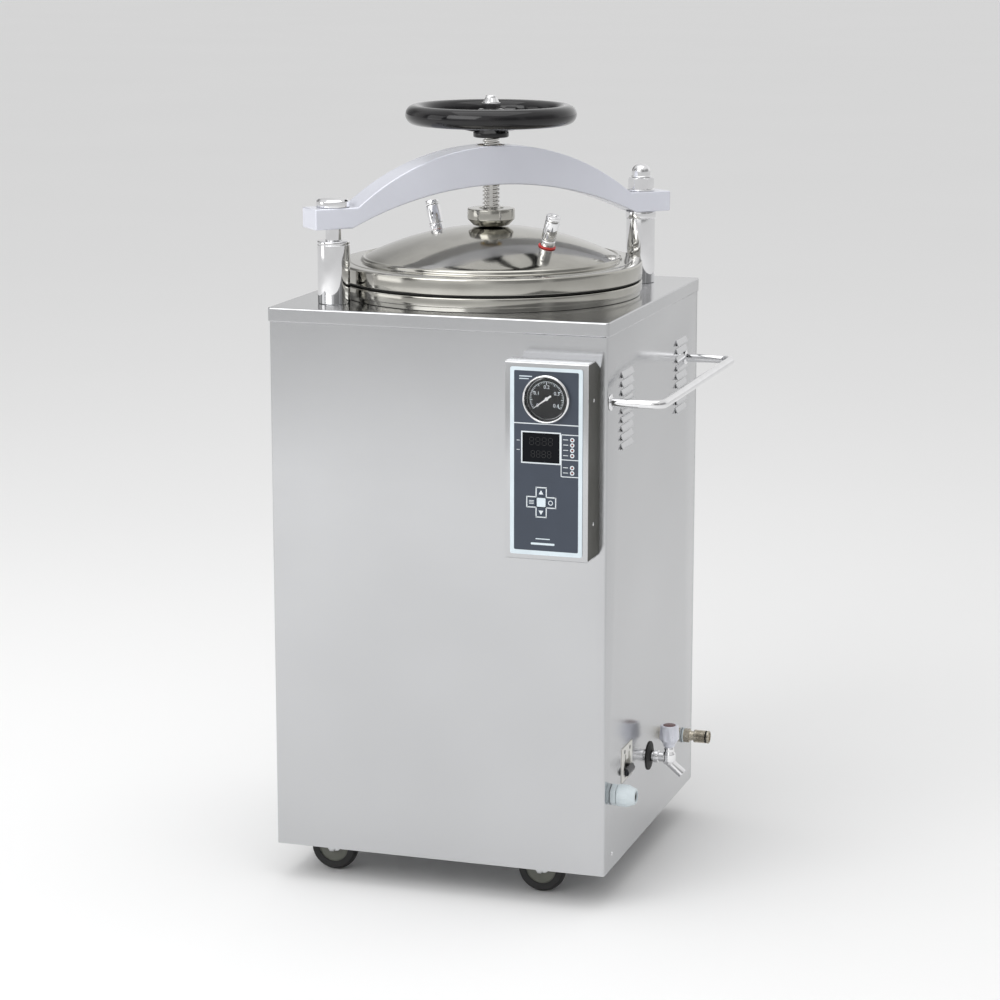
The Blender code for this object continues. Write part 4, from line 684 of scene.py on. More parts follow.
class AUTOCLAVE_OT_cover(bpy.types.Operator):
    """Satin cover with soft pressed edges and a turned-down skirt"""

    bl_idname = "autoclave.cover"
    bl_label = "Cover"

    def execute(self, context):
        start, end = low("top_cover"), high("top_cover")
        outline = [(start.x, start.y, 0.004), (end.x, start.y, 0.004), (end.x, end.y, 0.004),
                   (start.x, end.y, 0.004)]
        cover = prism("cover_sheet", outline, end.z - start.z, at(0, 0, start.z))
        bevelled(cover, 0.0016, 3, 60)
        wall = 0.0015
        inside = block("inside", (start.x + wall, start.y + wall, start.z - 0.01),
                       (end.x - wall, end.y - wall, end.z - 0.003))
        neck = turned("neck", [(0, start.z + 0.004), (0.1735, start.z + 0.004), (0.1735, end.z + 0.01),
                               (0, end.z + 0.01)], at(AXIS.x, AXIS.y, 0), steps=128)
        cut(cover, inside)
        cut(cover, neck)
        holes = [turned("hole", [(0, start.z + 0.004), (0.0105, start.z + 0.004), (0.0105, end.z + 0.01),
                                 (0, end.z + 0.01)], at(place.x, place.y, 0), steps=48)
                 for place in PILLARS.values()]
        cut(cover, *holes)
        finish(cover, satin_sheet("upright"), "cabinet", ["top_cover"])
        return {"FINISHED"}


# Pressure vessel ------------------------------------------------------------------------------


class AUTOCLAVE_OT_chamber(bpy.types.Operator):
    """Polished pot with its stepped flange, and the gasket that shows as a black line"""

    bl_idname = "autoclave.chamber"
    bl_label = "Chamber"

    def execute(self, context):
        bottom, top = low("chamber").z, high("chamber").z
        rim = width("chamber").x / 2
        inner, outer, drain = 0.170, 0.173, 0.006
        under = COVER_TOP + 0.0003
        profile = [(drain, bottom + 0.003), (drain, bottom), (outer, bottom, 0.020), (outer, under),
                   (rim - 0.0022, under, 0.0008), (rim - 0.0022, under + 0.0052, 0.0006),
                   (rim, under + 0.0060, 0.0010), (rim, top, 0.0022), (rim - 0.0035, top, 0.0004),
                   (inner, top, 0.0015), (inner, bottom + 0.003, 0.018)]
        pot = turned("chamber_pot", profile, at(AXIS.x, AXIS.y, 0), 128, True)
        finish(pot, polished_steel("vessel"), "cabinet", ["chamber"])
        start, end = low("lid_gasket"), high("lid_gasket")
        ring, seal = (end.x - start.x) / 2, 0.018
        section = [(ring - seal, start.z, 0.0006), (ring, start.z, 0.0008), (ring, end.z, 0.0008),
                   (ring - seal, end.z, 0.0006)]
        gasket = turned("gasket_ring", section, at(AXIS.x, AXIS.y, 0), 128, True)
        finish(gasket, rubber(0.012), "cabinet", ["lid_gasket"])
        return {"FINISHED"}


def dome_height(radius, crown, sphere):
    return crown - sphere + sqrt(sphere**2 - radius**2)


class AUTOCLAVE_OT_lid(bpy.types.Operator):
    """Domed lid with a bead round the dome and a deep polished flange, and its collar"""

    bl_idname = "autoclave.lid"
    bl_label = "Lid"

    def execute(self, context):
        bottom, crown = low("lid").z, high("lid").z
        rim, dome, rise, wall = width("lid").x / 2, 0.160, 0.037, 0.004
        flange = bottom + 0.022
        sphere = (dome**2 + rise**2) / (2 * rise)
        outer = [(dome * n / 20, dome_height(dome * n / 20, crown, sphere)) for n in range(21)]
        bead = [(dome + 0.0026, outer[-1][1] - 0.0018, 0.0012), (dome + 0.0052, outer[-1][1] + 0.0004, 0.0018),
                (dome + 0.0078, outer[-1][1] - 0.0020, 0.0018), (dome + 0.0082, flange, 0.0016)]
        edge = [(rim - 0.0140, flange, 0.002), (rim - 0.0120, flange - 0.0009, 0.001),
                (rim, flange - 0.0009, 0.0030), (rim, bottom, 0.0018), (0.170, bottom, 0.001),
                (dome - wall, bottom + 0.011)]
        reach = dome - wall
        inner = [(reach * n / 14, dome_height(reach * n / 14, crown - wall, sphere - wall))
                 for n in range(14, -1, -1)]
        shell = turned("lid_dome", outer[:-1] + [outer[-1]] + bead + edge + inner, at(AXIS.x, AXIS.y, 0), 128)
        finish(shell, polished_steel("lid"), "lid", ["lid"])
        low_z, top = low("thrust_collar").z, high("thrust_collar").z
        radius = width("thrust_collar").x / 2
        profile = [(0.0085, top), (0.0125, top, 0.0004), (0.0125, top - 0.0010, 0.0004),
                   (0.0160, top - 0.0010, 0.0004), (0.0160, top, 0.0004), (radius, top, 0.0014),
                   (radius, low_z + 0.0090, 0.0020), (radius - 0.0075, low_z + 0.0012, 0.0012),
                   (0.0145, low_z), (0.0110, low_z), (0.0110, low_z + 0.012), (0.0085, low_z + 0.012)]
        collar = turned("screw_collar", profile, at(AXIS.x, AXIS.y, 0), 96, True)
        finish(collar, polished_steel("collar"), "lid", ["thrust_collar"])
        return {"FINISHED"}


def valve_axis(node):
    """The tilted axis of a valve: its cap's own joint gives the direction."""
    joint = JOINTS["safety_cap_lift" if "safety" in node else "vent_cap_lift"]
    return Vector(joint["axis"]).normalized()


class AUTOCLAVE_OT_valves(bpy.types.Operator):
    """Both lid valves: cross-drilled bodies on red seals, with ribbed lifting caps"""

    bl_idname = "autoclave.valves"
    bl_label = "Lid valves"

    def execute(self, context):
        crown, dome, rise = high("lid").z, 0.160, 0.037
        sphere = (dome**2 + rise**2) / (2 * rise)
        for node in ("safety_valve", "vent_valve"):
            direction = valve_axis(node)
            base = AXIS + Vector((0, 0, crown - sphere)) + sphere * direction
            place = towards(direction, base)
            top = 0.0349
            profile = [(0, -0.010), (0.0040, -0.010), (0.0040, 0.0016), (0.0092, 0.0016, 0.0005),
                       (0.0092, 0.0085, 0.0006), (0.0084, 0.0091, 0.0003), (0.0084, 0.0106, 0.0003),
                       (0.0092, 0.0112, 0.0006), (0.0092, top, 0.0012), (0.0038, top), (0.0038, top - 0.012),
                       (0, top - 0.012)]
            body = turned(f"{node}_body", profile, place, 48)
            across = place @ at(0, 0, 0.0240) @ Matrix.Rotation(pi / 2, 4, "X") @ at(0, 0, -0.02)
            hole = turned("hole", [(0, 0), (0.0022, 0), (0.0022, 0.04), (0, 0.04)], across, 20)
            cut(body, hole)
            slot = block("slot", (-0.0009, -0.02, 0.0130), (0.0009, 0.02, 0.0195))
            slot.matrix_world = place
            pick(slot)
            bpy.ops.object.transform_apply(location=True, rotation=True, scale=True)
            cut(body, slot)
            finish(body, bright_chrome(), "lid", [node])
            seal = turned(f"{node}_seal", [(0.0045, 0.0, 0.0003), (0.0112, 0.0, 0.0005), (0.0112, 0.0014, 0.0006),
                                           (0.0045, 0.0014, 0.0003)], place, 48, True)
            finish(seal, moulded("Red silicone", 0.55, 0.035, 0.03, 0.42), "lid")
            nut = prism(f"{node}_nut", regular(6, 0.0078, 0, 0.0004), 0.0032, place @ at(0, 0, -0.0080))
            finish(bevelled(nut, 0.0004, 2, 50), bright_chrome(), "lid")
            body_name = "safety_cap" if "safety" in node else "vent_cap"
            low_cap = top + 0.0003
            cap = turned(f"{node}_ring", [(0, top - 0.0085), (0.0032, top - 0.0085), (0.0032, low_cap),
                                          (0.0088, low_cap, 0.0004), (0.0092, low_cap + 0.0016, 0.0004),
                                          (0.0084, low_cap + 0.0022, 0.0003), (0.0092, low_cap + 0.0030, 0.0004),
                                          (0.0088, low_cap + 0.0065, 0.0010), (0.0046, low_cap + 0.0065, 0.0004),
                                          (0.0040, low_cap + 0.0055, 0.0004), (0, low_cap + 0.0055)], place, 48)
            finish(cap, bright_chrome(), body_name, [f"{node}_cap"])
        return {"FINISHED"}


# Beam, pillars, screw and handwheel -----------------------------------------------------------


def arc_over(half, rise, base, count):
    """(s, height) along a low arc, left to right."""
    radius = (half**2 + rise**2) / (2 * rise)
    reach = atan2(half, radius - rise)
    turns = [reach - 2 * reach * step / (count - 1) for step in range(count)]
    return [(-radius * sin(turn), base + rise - radius + radius * cos(turn)) for turn in turns]


class AUTOCLAVE_OT_beam(bpy.types.Operator):
    """Arched beam with crisp radiused edges, hooked on the left and pivoted on the right"""

    bl_idname = "autoclave.beam"
    bl_label = "Cross beam"

    def execute(self, context):
        left, right = PILLARS["left"], PILLARS["right"]
        span = hypot(right.x - left.x, right.y - left.y) / 2
        end, bottom, crown = span + 0.033, low("cross_beam").z, high("cross_beam").z
        flat_top = high("left_rod").z - 0.0117 - 0.0003
        under = [(-end, bottom), *arc_over(span - 0.01803, crown - 0.050 - bottom, bottom, 49), (end, bottom)]
        over = [(-end, flat_top), *arc_over(span - 0.02603, crown - flat_top, flat_top, 49), (end, flat_top)]
        chains = []
        for line in (under, over):
            chains.append(begin("chain"))
            draw([(along, height, 0) for along, height in line])
            bpy.ops.object.mode_set(mode="OBJECT")
        beam = editing(joined("arched_beam", *chains))
        bpy.ops.mesh.select_all(action="SELECT")
        bpy.ops.mesh.bridge_edge_loops()
        bpy.ops.mesh.select_all(action="SELECT")
        bpy.ops.mesh.extrude_region_move(TRANSFORM_OT_translate={"value": (0, 0, 0.042)})
        turn = at(AXIS.x, AXIS.y, 0) @ Matrix.Rotation(pi / 4, 4, "Z") @ Matrix.Rotation(pi / 2, 4, "X")
        settle(beam, turn @ at(0, 0, -0.021))
        bevelled(beam, 0.0016, 3, 50)
        tall = [(0, bottom - 0.03), (0.0105, bottom - 0.03), (0.0105, crown + 0.03), (0, crown + 0.03)]
        cut(beam, turned("pivot", tall, at(right.x, right.y, 0), 48))
        wide = [(0, bottom - 0.03), (0.0178, bottom - 0.03), (0.0178, crown + 0.03), (0, crown + 0.03)]
        cut(beam, turned("bush_bore", wide, at(AXIS.x, AXIS.y, 0), 64))
        hook = 0.011
        seat = [(hook, 0.05)] + [(hook * cos(-pi * n / 16), hook * sin(-pi * n / 16)) for n in range(17)]
        seat += [(-hook, 0.05)]
        slot = prism("slot", seat, 0.16, at(left.x, left.y, bottom - 0.03) @ Matrix.Rotation(pi / 4, 4, "Z"))
        cut(beam, slot)
        finish(beam, silver_enamel(), "beam", ["cross_beam"])
        start, top = low("threaded_bush").z, high("threaded_bush").z
        ring = [(0.0115, start, 0.0005), (0.0175, start, 0.0005), (0.0175, top, 0.0006), (0.0115, top, 0.0008)]
        bush = turned("screw_bush", ring, at(AXIS.x, AXIS.y, 0), 64, True)
        finish(bush, metal("Brass", 0.62, 0.45, 0.20, 0.26), "beam", ["threaded_bush"])
        return {"FINISHED"}


class AUTOCLAVE_OT_pillars(bpy.types.Operator):
    """Chrome sleeves, rods, button head, washer, chamfered nut and domed cap"""

    bl_idname = "autoclave.pillars"
    bl_label = "Pillars"

    def execute(self, context):
        left, right = PILLARS["left"], PILLARS["right"]
        to_left, to_right = at(left.x, left.y, 0), at(right.x, right.y, 0)
        base, top, radius = low("left_sleeve").z, high("left_sleeve").z, width("left_sleeve").x / 2
        sleeve = turned("left_pillar", [(0.0105, base), (radius, base, 0.0006), (radius, top - 0.0052, 0.0004),
                                        (radius - 0.0006, top - 0.0046, 0.0003), (radius, top - 0.0040, 0.0004),
                                        (radius, top, 0.0016), (0.0105, top, 0.0006)], to_left, 64, True)
        finish(sleeve, bright_chrome(), "cabinet", ["left_sleeve"])
        under, crown = high("left_rod").z - 0.0117, high("left_rod").z
        foot = low("left_rod").z
        ear = foot + 0.012
        head = width("left_rod").x / 2
        rod = [(0, foot), (0.016, foot, 0.001), (0.016, ear, 0.001), (0.010, ear), (0.010, under),
               (head, under, 0.0010), (head, crown - 0.0042, 0.0012), (head - 0.0030, crown - 0.0014, 0.0020),
               (0.0100, crown - 0.0004, 0.004), (0, crown)]
        finish(turned("left_button_rod", rod, to_left, 64), bright_chrome(), "cabinet", ["left_rod"])
        base, top, radius = low("right_sleeve").z, high("right_sleeve").z, width("right_sleeve").x / 2
        collar = top - 0.009
        profile = [(0.0105, base), (radius - 0.001, base, 0.0006), (radius - 0.001, collar - 0.0008, 0.0004),
                   (radius - 0.0022, collar, 0.0003), (radius, collar + 0.0006, 0.0006), (radius, top, 0.0008),
                   (0.0105, top)]
        finish(turned("right_pillar", profile, to_right, 64, True), bright_chrome(), "cabinet",
               ["right_sleeve"])
        foot, crown = low("right_rod").z, high("right_rod").z
        rod = [(0, foot), (0.016, foot, 0.001), (0.016, foot + 0.012, 0.001), (0.010, foot + 0.012),
               (0.010, crown, 0.0012), (0, crown)]
        finish(turned("right_pivot_rod", rod, to_right, 48), bright_chrome(), "cabinet", ["right_rod"])
        start, top = low("pillar_washer").z, high("pillar_washer").z
        washer = [(0.0105, start, 0.0003), (0.018, start, 0.0005), (0.018, top, 0.0007), (0.0105, top, 0.0003)]
        finish(turned("nut_washer", washer, to_right, 64, True), bright_chrome(), "cabinet",
               ["pillar_washer"])
        start, top = low("pillar_nut").z, high("pillar_nut").z
        tall, across = top - start, 0.017
        nut = prism("pivot_nut", regular(6, across, radians(15), 0.0006), tall, to_right @ at(0, 0, start))
        cone = turned("cone", [(0, start - 0.001), (across * 0.90, start - 0.001), (across * 1.02, start + 0.0020),
                               (across * 1.02, top - 0.0028), (across * 0.86, top + 0.0004),
                               (0, top + 0.0004)], to_right, 64)
        apply(nut, "BOOLEAN", operation="INTERSECT", solver="EXACT", object=cone)
        bpy.data.objects.remove(cone)
        bore = turned("bore", [(0, start - 0.01), (0.0105, start - 0.01), (0.0105, top + 0.01), (0, top + 0.01)],
                      to_right, 48)
        cut(nut, bore)
        finish(nut, bright_chrome(), "cabinet", ["pillar_nut"])
        aside = Vector((cos(radians(-45)), sin(radians(-45)), 0))
        flat = across * cos(pi / 6)
        seat = Vector((right.x, right.y, (start + top) / 2)) + aside * (flat - 0.0002)
        grub = turned("nut_grub_screw", [(0, 0), (0.0024, 0), (0.0024, 0.0012, 0.0003), (0.0011, 0.0012, 0.0002),
                                         (0.0011, 0.0003), (0, 0.0003)], towards(aside, seat), 24)
        finish(grub, metal("Blued steel", 0.10, 0.10, 0.11, 0.3), "cabinet")
        start, top, radius = low("pillar_cap").z, high("pillar_cap").z, width("pillar_cap").x / 2
        straight = top - radius * 0.82
        dome = [(radius * cos(pi / 2 * n / 10), straight + radius * 0.82 * sin(pi / 2 * n / 10)) for n in range(10)]
        cap = [(0, start + 0.0092), (0.0105, start + 0.0092), (0.0105, start), (radius + 0.0008, start, 0.0004),
               (radius + 0.0008, start + 0.0014, 0.0004), (radius, start + 0.0020)] + dome + [(0, top)]
        finish(turned("domed_cap", cap, to_right, 64), bright_chrome(), "cabinet", ["pillar_cap"])
        return {"FINISHED"}


class AUTOCLAVE_OT_screw(bpy.types.Operator):
    """Lifting screw with a trapezoidal thread and a milled keyway"""

    bl_idname = "autoclave.screw"
    bl_label = "Lifting screw"

    def execute(self, context):
        pitch, major = sizes().screw_pitch, 0.011
        minor = major - sizes().thread_depth
        start, end = high("thrust_collar").z + 0.0006, low("handwheel").z - 0.0003
        turns = int((end - start) / pitch) + 4
        flank = [(minor, 0), (minor, pitch * 0.26), (major, pitch * 0.44), (major, pitch * 0.80)]
        points = [(radius, 0, start - 2 * pitch + height + pitch * turn)
                  for turn in range(turns) for radius, height in flank]
        thread = begin("thread")
        draw(points + [(minor, 0, start - 2 * pitch + pitch * turns)])
        bpy.ops.object.mode_set(mode="OBJECT")
        apply(thread, "SCREW", angle=2 * pi, steps=40, render_steps=40, screw_offset=pitch, iterations=1,
              use_merge_vertices=False, use_smooth_shade=True)
        editing(thread)
        bpy.ops.mesh.select_all(action="SELECT")
        bpy.ops.mesh.remove_doubles(threshold=2e-6)
        bpy.ops.mesh.bisect(plane_co=(0, 0, start), plane_no=(0, 0, 1), use_fill=True, clear_inner=True)
        bpy.ops.mesh.select_all(action="SELECT")
        bpy.ops.mesh.bisect(plane_co=(0, 0, end), plane_no=(0, 0, 1), use_fill=True, clear_outer=True)
        settle(thread, at(AXIS.x, AXIS.y, 0), 28)
        turn = at(AXIS.x, AXIS.y, 0) @ Matrix.Rotation(sizes().camera_azimuth, 4, "Z")
        keyway = block("keyway", (-0.0022, -0.020, start + 0.001), (0.0022, -0.0082, end - 0.012))
        keyway.matrix_world = turn
        pick(keyway)
        bpy.ops.object.transform_apply(location=True, rotation=True, scale=True)
        cut(thread, keyway, smooth=28)
        neck = turned("neck", [(0, low("screw").z), (0.0105, low("screw").z, 0.0006),
                               (0.0105, low("screw").z + 0.011, 0.0004), (0.008, low("screw").z + 0.011),
                               (0.008, start + 0.0002), (0, start + 0.0002)], at(AXIS.x, AXIS.y, 0), 48)
        spigot = turned("spigot", [(0, end - 0.0002), (0.007, end - 0.0002), (0.007, high("screw").z, 0.0008),
                                   (0, high("screw").z)], at(AXIS.x, AXIS.y, 0), 48)
        piece = joined("lifting_screw", thread, neck, spigot)
        finish(piece, metal("Ground steel", 0.62, 0.61, 0.59, 0.16), "screw", ["screw"])
        return {"FINISHED"}


class AUTOCLAVE_OT_handwheel(bpy.types.Operator):
    """Round black rim on three cast spokes, with a stepped boss and a chrome nut"""

    bl_idname = "autoclave.handwheel"
    bl_label = "Handwheel"

    def execute(self, context):
        start, end = low("handwheel"), high("handwheel")
        reach, section, rim_z = (end.x - start.x) / 2, 0.0125, low("handwheel").z + 0.029
        ring = reach - section
        rim = turned("rim", [(ring + section * cos(2 * pi * n / 28), rim_z + section * sin(2 * pi * n / 28))
                             for n in range(28)], at(AXIS.x, AXIS.y, 0), 128, True, 60)
        top = low("top_nut").z - 0.0003
        profile = [(0.0075, start.z), (0.0230, start.z, 0.0016), (0.0230, start.z + 0.0060, 0.0016),
                   (0.0190, start.z + 0.0100, 0.0020), (0.0215, start.z + 0.0160, 0.0030),
                   (0.0165, top, 0.0030), (0.0075, top, 0.0008)]
        hub = turned("hub", profile, at(AXIS.x, AXIS.y, 0), 64, True)
        inner, outer = 0.0150, ring - 0.004
        lower, thick = start.z + 0.0070, 0.0085
        count = 14
        line = [(inner + (outer - inner) * n / count,
                 lower + (rim_z - thick / 2 - lower) * (3 * (n / count)**2 - 2 * (n / count)**3))
                for n in range(count + 1)]
        outline = line + [(s, z + thick) for s, z in reversed(line)]
        spokes = []
        for number in range(3):
            turn = at(AXIS.x, AXIS.y, 0) @ Matrix.Rotation(2 * pi * number / 3 + pi / 2, 4, "Z")
            spoke = prism("spoke", outline, 0.018, turn @ Matrix.Rotation(pi / 2, 4, "X") @ at(0, 0, -0.009))
            spokes.append(bevelled(spoke, 0.0030, 4, 50, 60))
        wheel = joined("black_handwheel", rim, hub, *spokes)
        finish(wheel, black_gloss(), "screw", ["handwheel"])
        low_z, top = low("top_nut").z, high("top_nut").z
        nut = prism("nut", regular(6, 0.0124, radians(18), 0.0005), 0.0075, at(AXIS.x, AXIS.y, low_z))
        bevelled(nut, 0.0006, 2, 50)
        cone = turned("crown", [(0, low_z + 0.0070), (0.0104, low_z + 0.0070), (0.0104, low_z + 0.0085, 0.0010),
                                (0.0072, top - 0.0028, 0.0012), (0.0072, top - 0.0012, 0.0006),
                                (0.0058, top, 0.0008), (0, top)], at(AXIS.x, AXIS.y, 0), 64)
        finish(joined("wheel_nut", nut, cone), bright_chrome(), "screw", ["top_nut"])
        return {"FINISHED"}


# Control box ----------------------------------------------------------------------------------

MARK = 0.00012  # thickness of a printed mark


def strip(name, x, z, across, tall, y, thick=MARK, corner=0.0):
    """A flat printed bar facing front with its middle at (x, z) and its back at y."""
    half_x, half_z = across / 2, tall / 2
    corners = [(-half_x, -half_z), (half_x, -half_z), (half_x, half_z), (-half_x, half_z)]
    if corner:
        corners = [(*point, corner) for point in corners]
    return prism(name, corners, thick, facing_front(x, z, y))


def ring(name, x, z, outer, inner, y, thick=MARK):
    section = [(inner, 0), (outer, 0), (outer, thick), (inner, thick)]
    return turned(name, section, facing_front(x, z, y), 40, True)


def outline_frame(name, x, z, across, tall, line, y, thick=MARK):
    """A printed rectangular line."""
    bars = [strip(name, x, z + side * (tall - line) / 2, across, line, y, thick) for side in (-1, 1)]
    bars += [strip(name, x + side * (across - line) / 2, z, line, tall - 2 * line, y, thick) for side in (-1, 1)]
    return joined(name, *bars)


class AUTOCLAVE_OT_control_box(bpy.types.Operator):
    """Folded steel box with a sloped rear top edge, and dark side plates whose colour is painted dark reflection"""

    bl_idname = "autoclave.control_box"
    bl_label = "Control box"

    def execute(self, context):
        start, end, sheet = low("control_housing"), high("control_housing"), 0.0015
        front, back, top, bottom = start.y, end.y, end.z, start.z
        skin = [(back, bottom), (front, bottom, 0.002), (front, top, 0.002), (back - 0.021, top, 0.003),
                (back, top - 0.011)]
        inner = [(back, top - 0.011 - sheet * 1.2), (back - 0.0215, top - sheet, 0.002),
                 (front + sheet, top - sheet, 0.001), (front + sheet, bottom + sheet, 0.001),
                 (back, bottom + sheet)]
        along = Matrix(((0, 0, 1, 0), (1, 0, 0, 0), (0, 1, 0, 0), (0, 0, 0, 1)))
        wrap = prism("box_wrap", skin + inner, end.x - start.x, at(start.x, 0, 0) @ along)
        centre = middle("gauge_case")
        bore = turned("bore", [(0, -0.02), (0.0260, -0.02), (0.0260, 0.02), (0, 0.02)],
                      facing_front(centre.x, centre.z), 48)
        cut(wrap, bore)
        view = middle("display_window")
        key_middle = (middle("key_up") + middle("key_down")) / 2
        cut(wrap, block("window", (view.x - 0.024, front - 0.01, view.z - 0.0185),
                        (view.x + 0.024, front + 0.01, view.z + 0.0185)))
        cut(wrap, block("window", (key_middle.x - 0.0185, front - 0.01, key_middle.z - 0.0185),
                        (key_middle.x + 0.0185, front + 0.01, key_middle.z + 0.0185)))
        finish(wrap, satin_sheet("upright"), "cabinet", ["control_housing"])
        shape = [(back, bottom + sheet), (front + sheet + 0.0004, bottom + sheet, 0.001),
                 (front + sheet + 0.0004, top - sheet, 0.001), (back - 0.0215, top - sheet, 0.002),
                 (back, top - 0.0125)]
        for name, x in (("box_side_right", end.x - 0.0016), ("box_side_left", start.x + 0.0002)):
            side = prism(name, shape, 0.0013, at(x, 0, 0) @ along)
            # enamel here is painted dark reflection on the side plates: a near-black colour with weak specular stands
            # in for the dark surroundings that the sides reflect.
            enamel = moulded("Dark box enamel", *colours().painted_reflection_box_side, 0.42)
            enamel.node_tree.nodes["Principled BSDF"].inputs["Specular IOR Level"].default_value = 0.2
            finish(side, enamel, "cabinet")
        screws = [button_head("box_screw", 0.0024, 0.0010, facing_side(front + 0.026, top - drop, end.x - 0.0006))
                  for drop in (0.0476, 0.1997)]
        finish(joined("box_side_screws", *screws), bright_chrome(), "cabinet")
        return {"FINISHED"}


class AUTOCLAVE_OT_membrane(bpy.types.Operator):
    """Printed membrane: pale border, slate field, divider, lamps with plain dashes"""

    bl_idname = "autoclave.membrane"
    bl_label = "Membrane panel"

    def execute(self, context):
        start, end = low("membrane_panel"), high("membrane_panel")
        box_left, box_top = low("control_housing").x, high("control_housing").z
        x, z = middle("membrane_panel").x, middle("membrane_panel").z
        gauge, view = middle("gauge_case"), middle("display_window")
        keys = {name: middle(f"key_{name}") for name in ("up", "down", "left", "right")}
        key_half = width("key_up").x / 2 + 0.0003

        def opened(sheet):
            cut(sheet, turned("bore", [(0, -0.01), (0.0262, -0.01), (0.0262, 0.01), (0, 0.01)],
                              facing_front(gauge.x, gauge.z), 64))
            half = width("display_window") / 2 + Vector((0.0002, 0, 0.0002))
            cut(sheet, block("window", (view.x - half.x, PANEL_Y - 0.01, view.z - half.z),
                             (view.x + half.x, PANEL_Y + 0.01, view.z + half.z)))
            cut(sheet, *[block("key", (key.x - key_half, PANEL_Y - 0.01, key.z - key_half),
                               (key.x + key_half, PANEL_Y + 0.01, key.z + key_half)) for key in keys.values()])
            return sheet

        border = strip("panel_border", x, z, end.x - start.x, end.z - start.z, PANEL_Y + 0.0012, 0.0011, 0.0025)
        finish(opened(border), border_film(), "cabinet", ["membrane_panel"])
        left, right = box_left + 0.0115, box_left + 0.0925
        bottom, top = low("control_housing").z + 0.012, box_top - 0.0107
        field = strip("panel_field", (left + right) / 2, (top + bottom) / 2, right - left, top - bottom,
                      PANEL_Y + 0.0001, 0.00010, 0.0016)
        finish(opened(field), slate(), "cabinet")
        y = PANEL_Y
        marks = [outline_frame("print", view.x, view.z, 0.0500, 0.0395, 0.0016, y)]
        lamp_x = box_left + 0.0848
        dash_x = lamp_x - 0.0083
        marks.append(strip("print", (left + right) / 2, box_top - 0.0748, right - left, 0.0012, y))
        marks.append(strip("print", box_left + 0.0710, box_top - 0.11215, 0.0010, 0.0513, y))
        for drop in (0.0924, 0.0988, 0.1052, 0.1117, 0.1265, 0.1329):
            marks.append(ring("print", lamp_x, box_top - drop, 0.0027, 0.0014, y))
            marks.append(strip("print", dash_x, box_top - drop, 0.0062, 0.0008, y))
        for drop in (0.0865, 0.1170, 0.1378):
            marks.append(strip("print", box_left + 0.0820, box_top - drop, 0.0210, 0.0010, y))
        for drop in (0.0960, 0.1075):
            marks.append(strip("print", box_left + 0.0168, box_top - drop, 0.0038, 0.0007, y))
        middle_x = (keys["left"].x + keys["right"].x) / 2
        middle_z = (keys["up"].z + keys["down"].z) / 2
        reach, arm, line = 0.0182, 0.0064, 0.0014
        for sign in (-1, 1):
            marks.append(strip("print", middle_x, middle_z + sign * reach, 2 * arm + line, line, y))
            marks.append(strip("print", middle_x + sign * reach, middle_z, line, 2 * arm + line, y))
            for other in (-1, 1):
                long = reach - arm
                marks.append(strip("print", middle_x + other * arm, middle_z + sign * (arm + long / 2),
                                   line, long, y))
                marks.append(strip("print", middle_x + sign * (arm + long / 2), middle_z + other * arm,
                                   long, line, y))
        finish(joined("panel_print", *marks), print_white(), "cabinet")
        pad = [strip("pad", middle_x, middle_z, 0.0110, 0.0110, y, MARK * 1.5, 0.0010)]
        footer_z = bottom + 0.0085
        pad.append(strip("pad", (left + right) / 2 - 0.004, footer_z, 0.030, 0.0026, y, MARK, 0.0010))
        pad.append(strip("pad", (left + right) / 2 - 0.004, footer_z + 0.0062, 0.018, 0.0012, y, MARK))
        pad.append(strip("pad", box_left + 0.0260, box_top - 0.0175, 0.016, 0.0012, y, MARK))
        pad.append(strip("pad", box_left + 0.0240, box_top - 0.0205, 0.012, 0.0010, y, MARK))
        finish(joined("panel_pads", *pad), border_film(), "cabinet")
        lamps = [turned("lamp", [(0, 0), (0.0013, 0), (0.0012, 0.0003, 0.0002), (0, 0.0005)],
                        facing_front(lamp_x, box_top - drop, y), 24)
                 for drop in (0.0924, 0.0988, 0.1052, 0.1117, 0.1265, 0.1329)]
        finish(joined("status_lamps", *lamps), moulded("Lamp lens", 0.20, 0.05, 0.045, 0.2), "cabinet")
        return {"FINISHED"}


def plain_text(name, words, size, place, thick=MARK):
    """Short numbers as a solid mesh."""
    clear_selection()
    bpy.ops.object.text_add()
    text = bpy.context.active_object
    text.data.body = words
    text.data.size = size
    text.data.extrude = thick / 2
    text.data.resolution_u = 3
    text.data.align_x = "CENTER"
    text.data.align_y = "CENTER"
    bpy.ops.object.convert(target="MESH")
    piece = named(name)
    return settle(piece, place @ at(0, 0, thick / 2), 20)


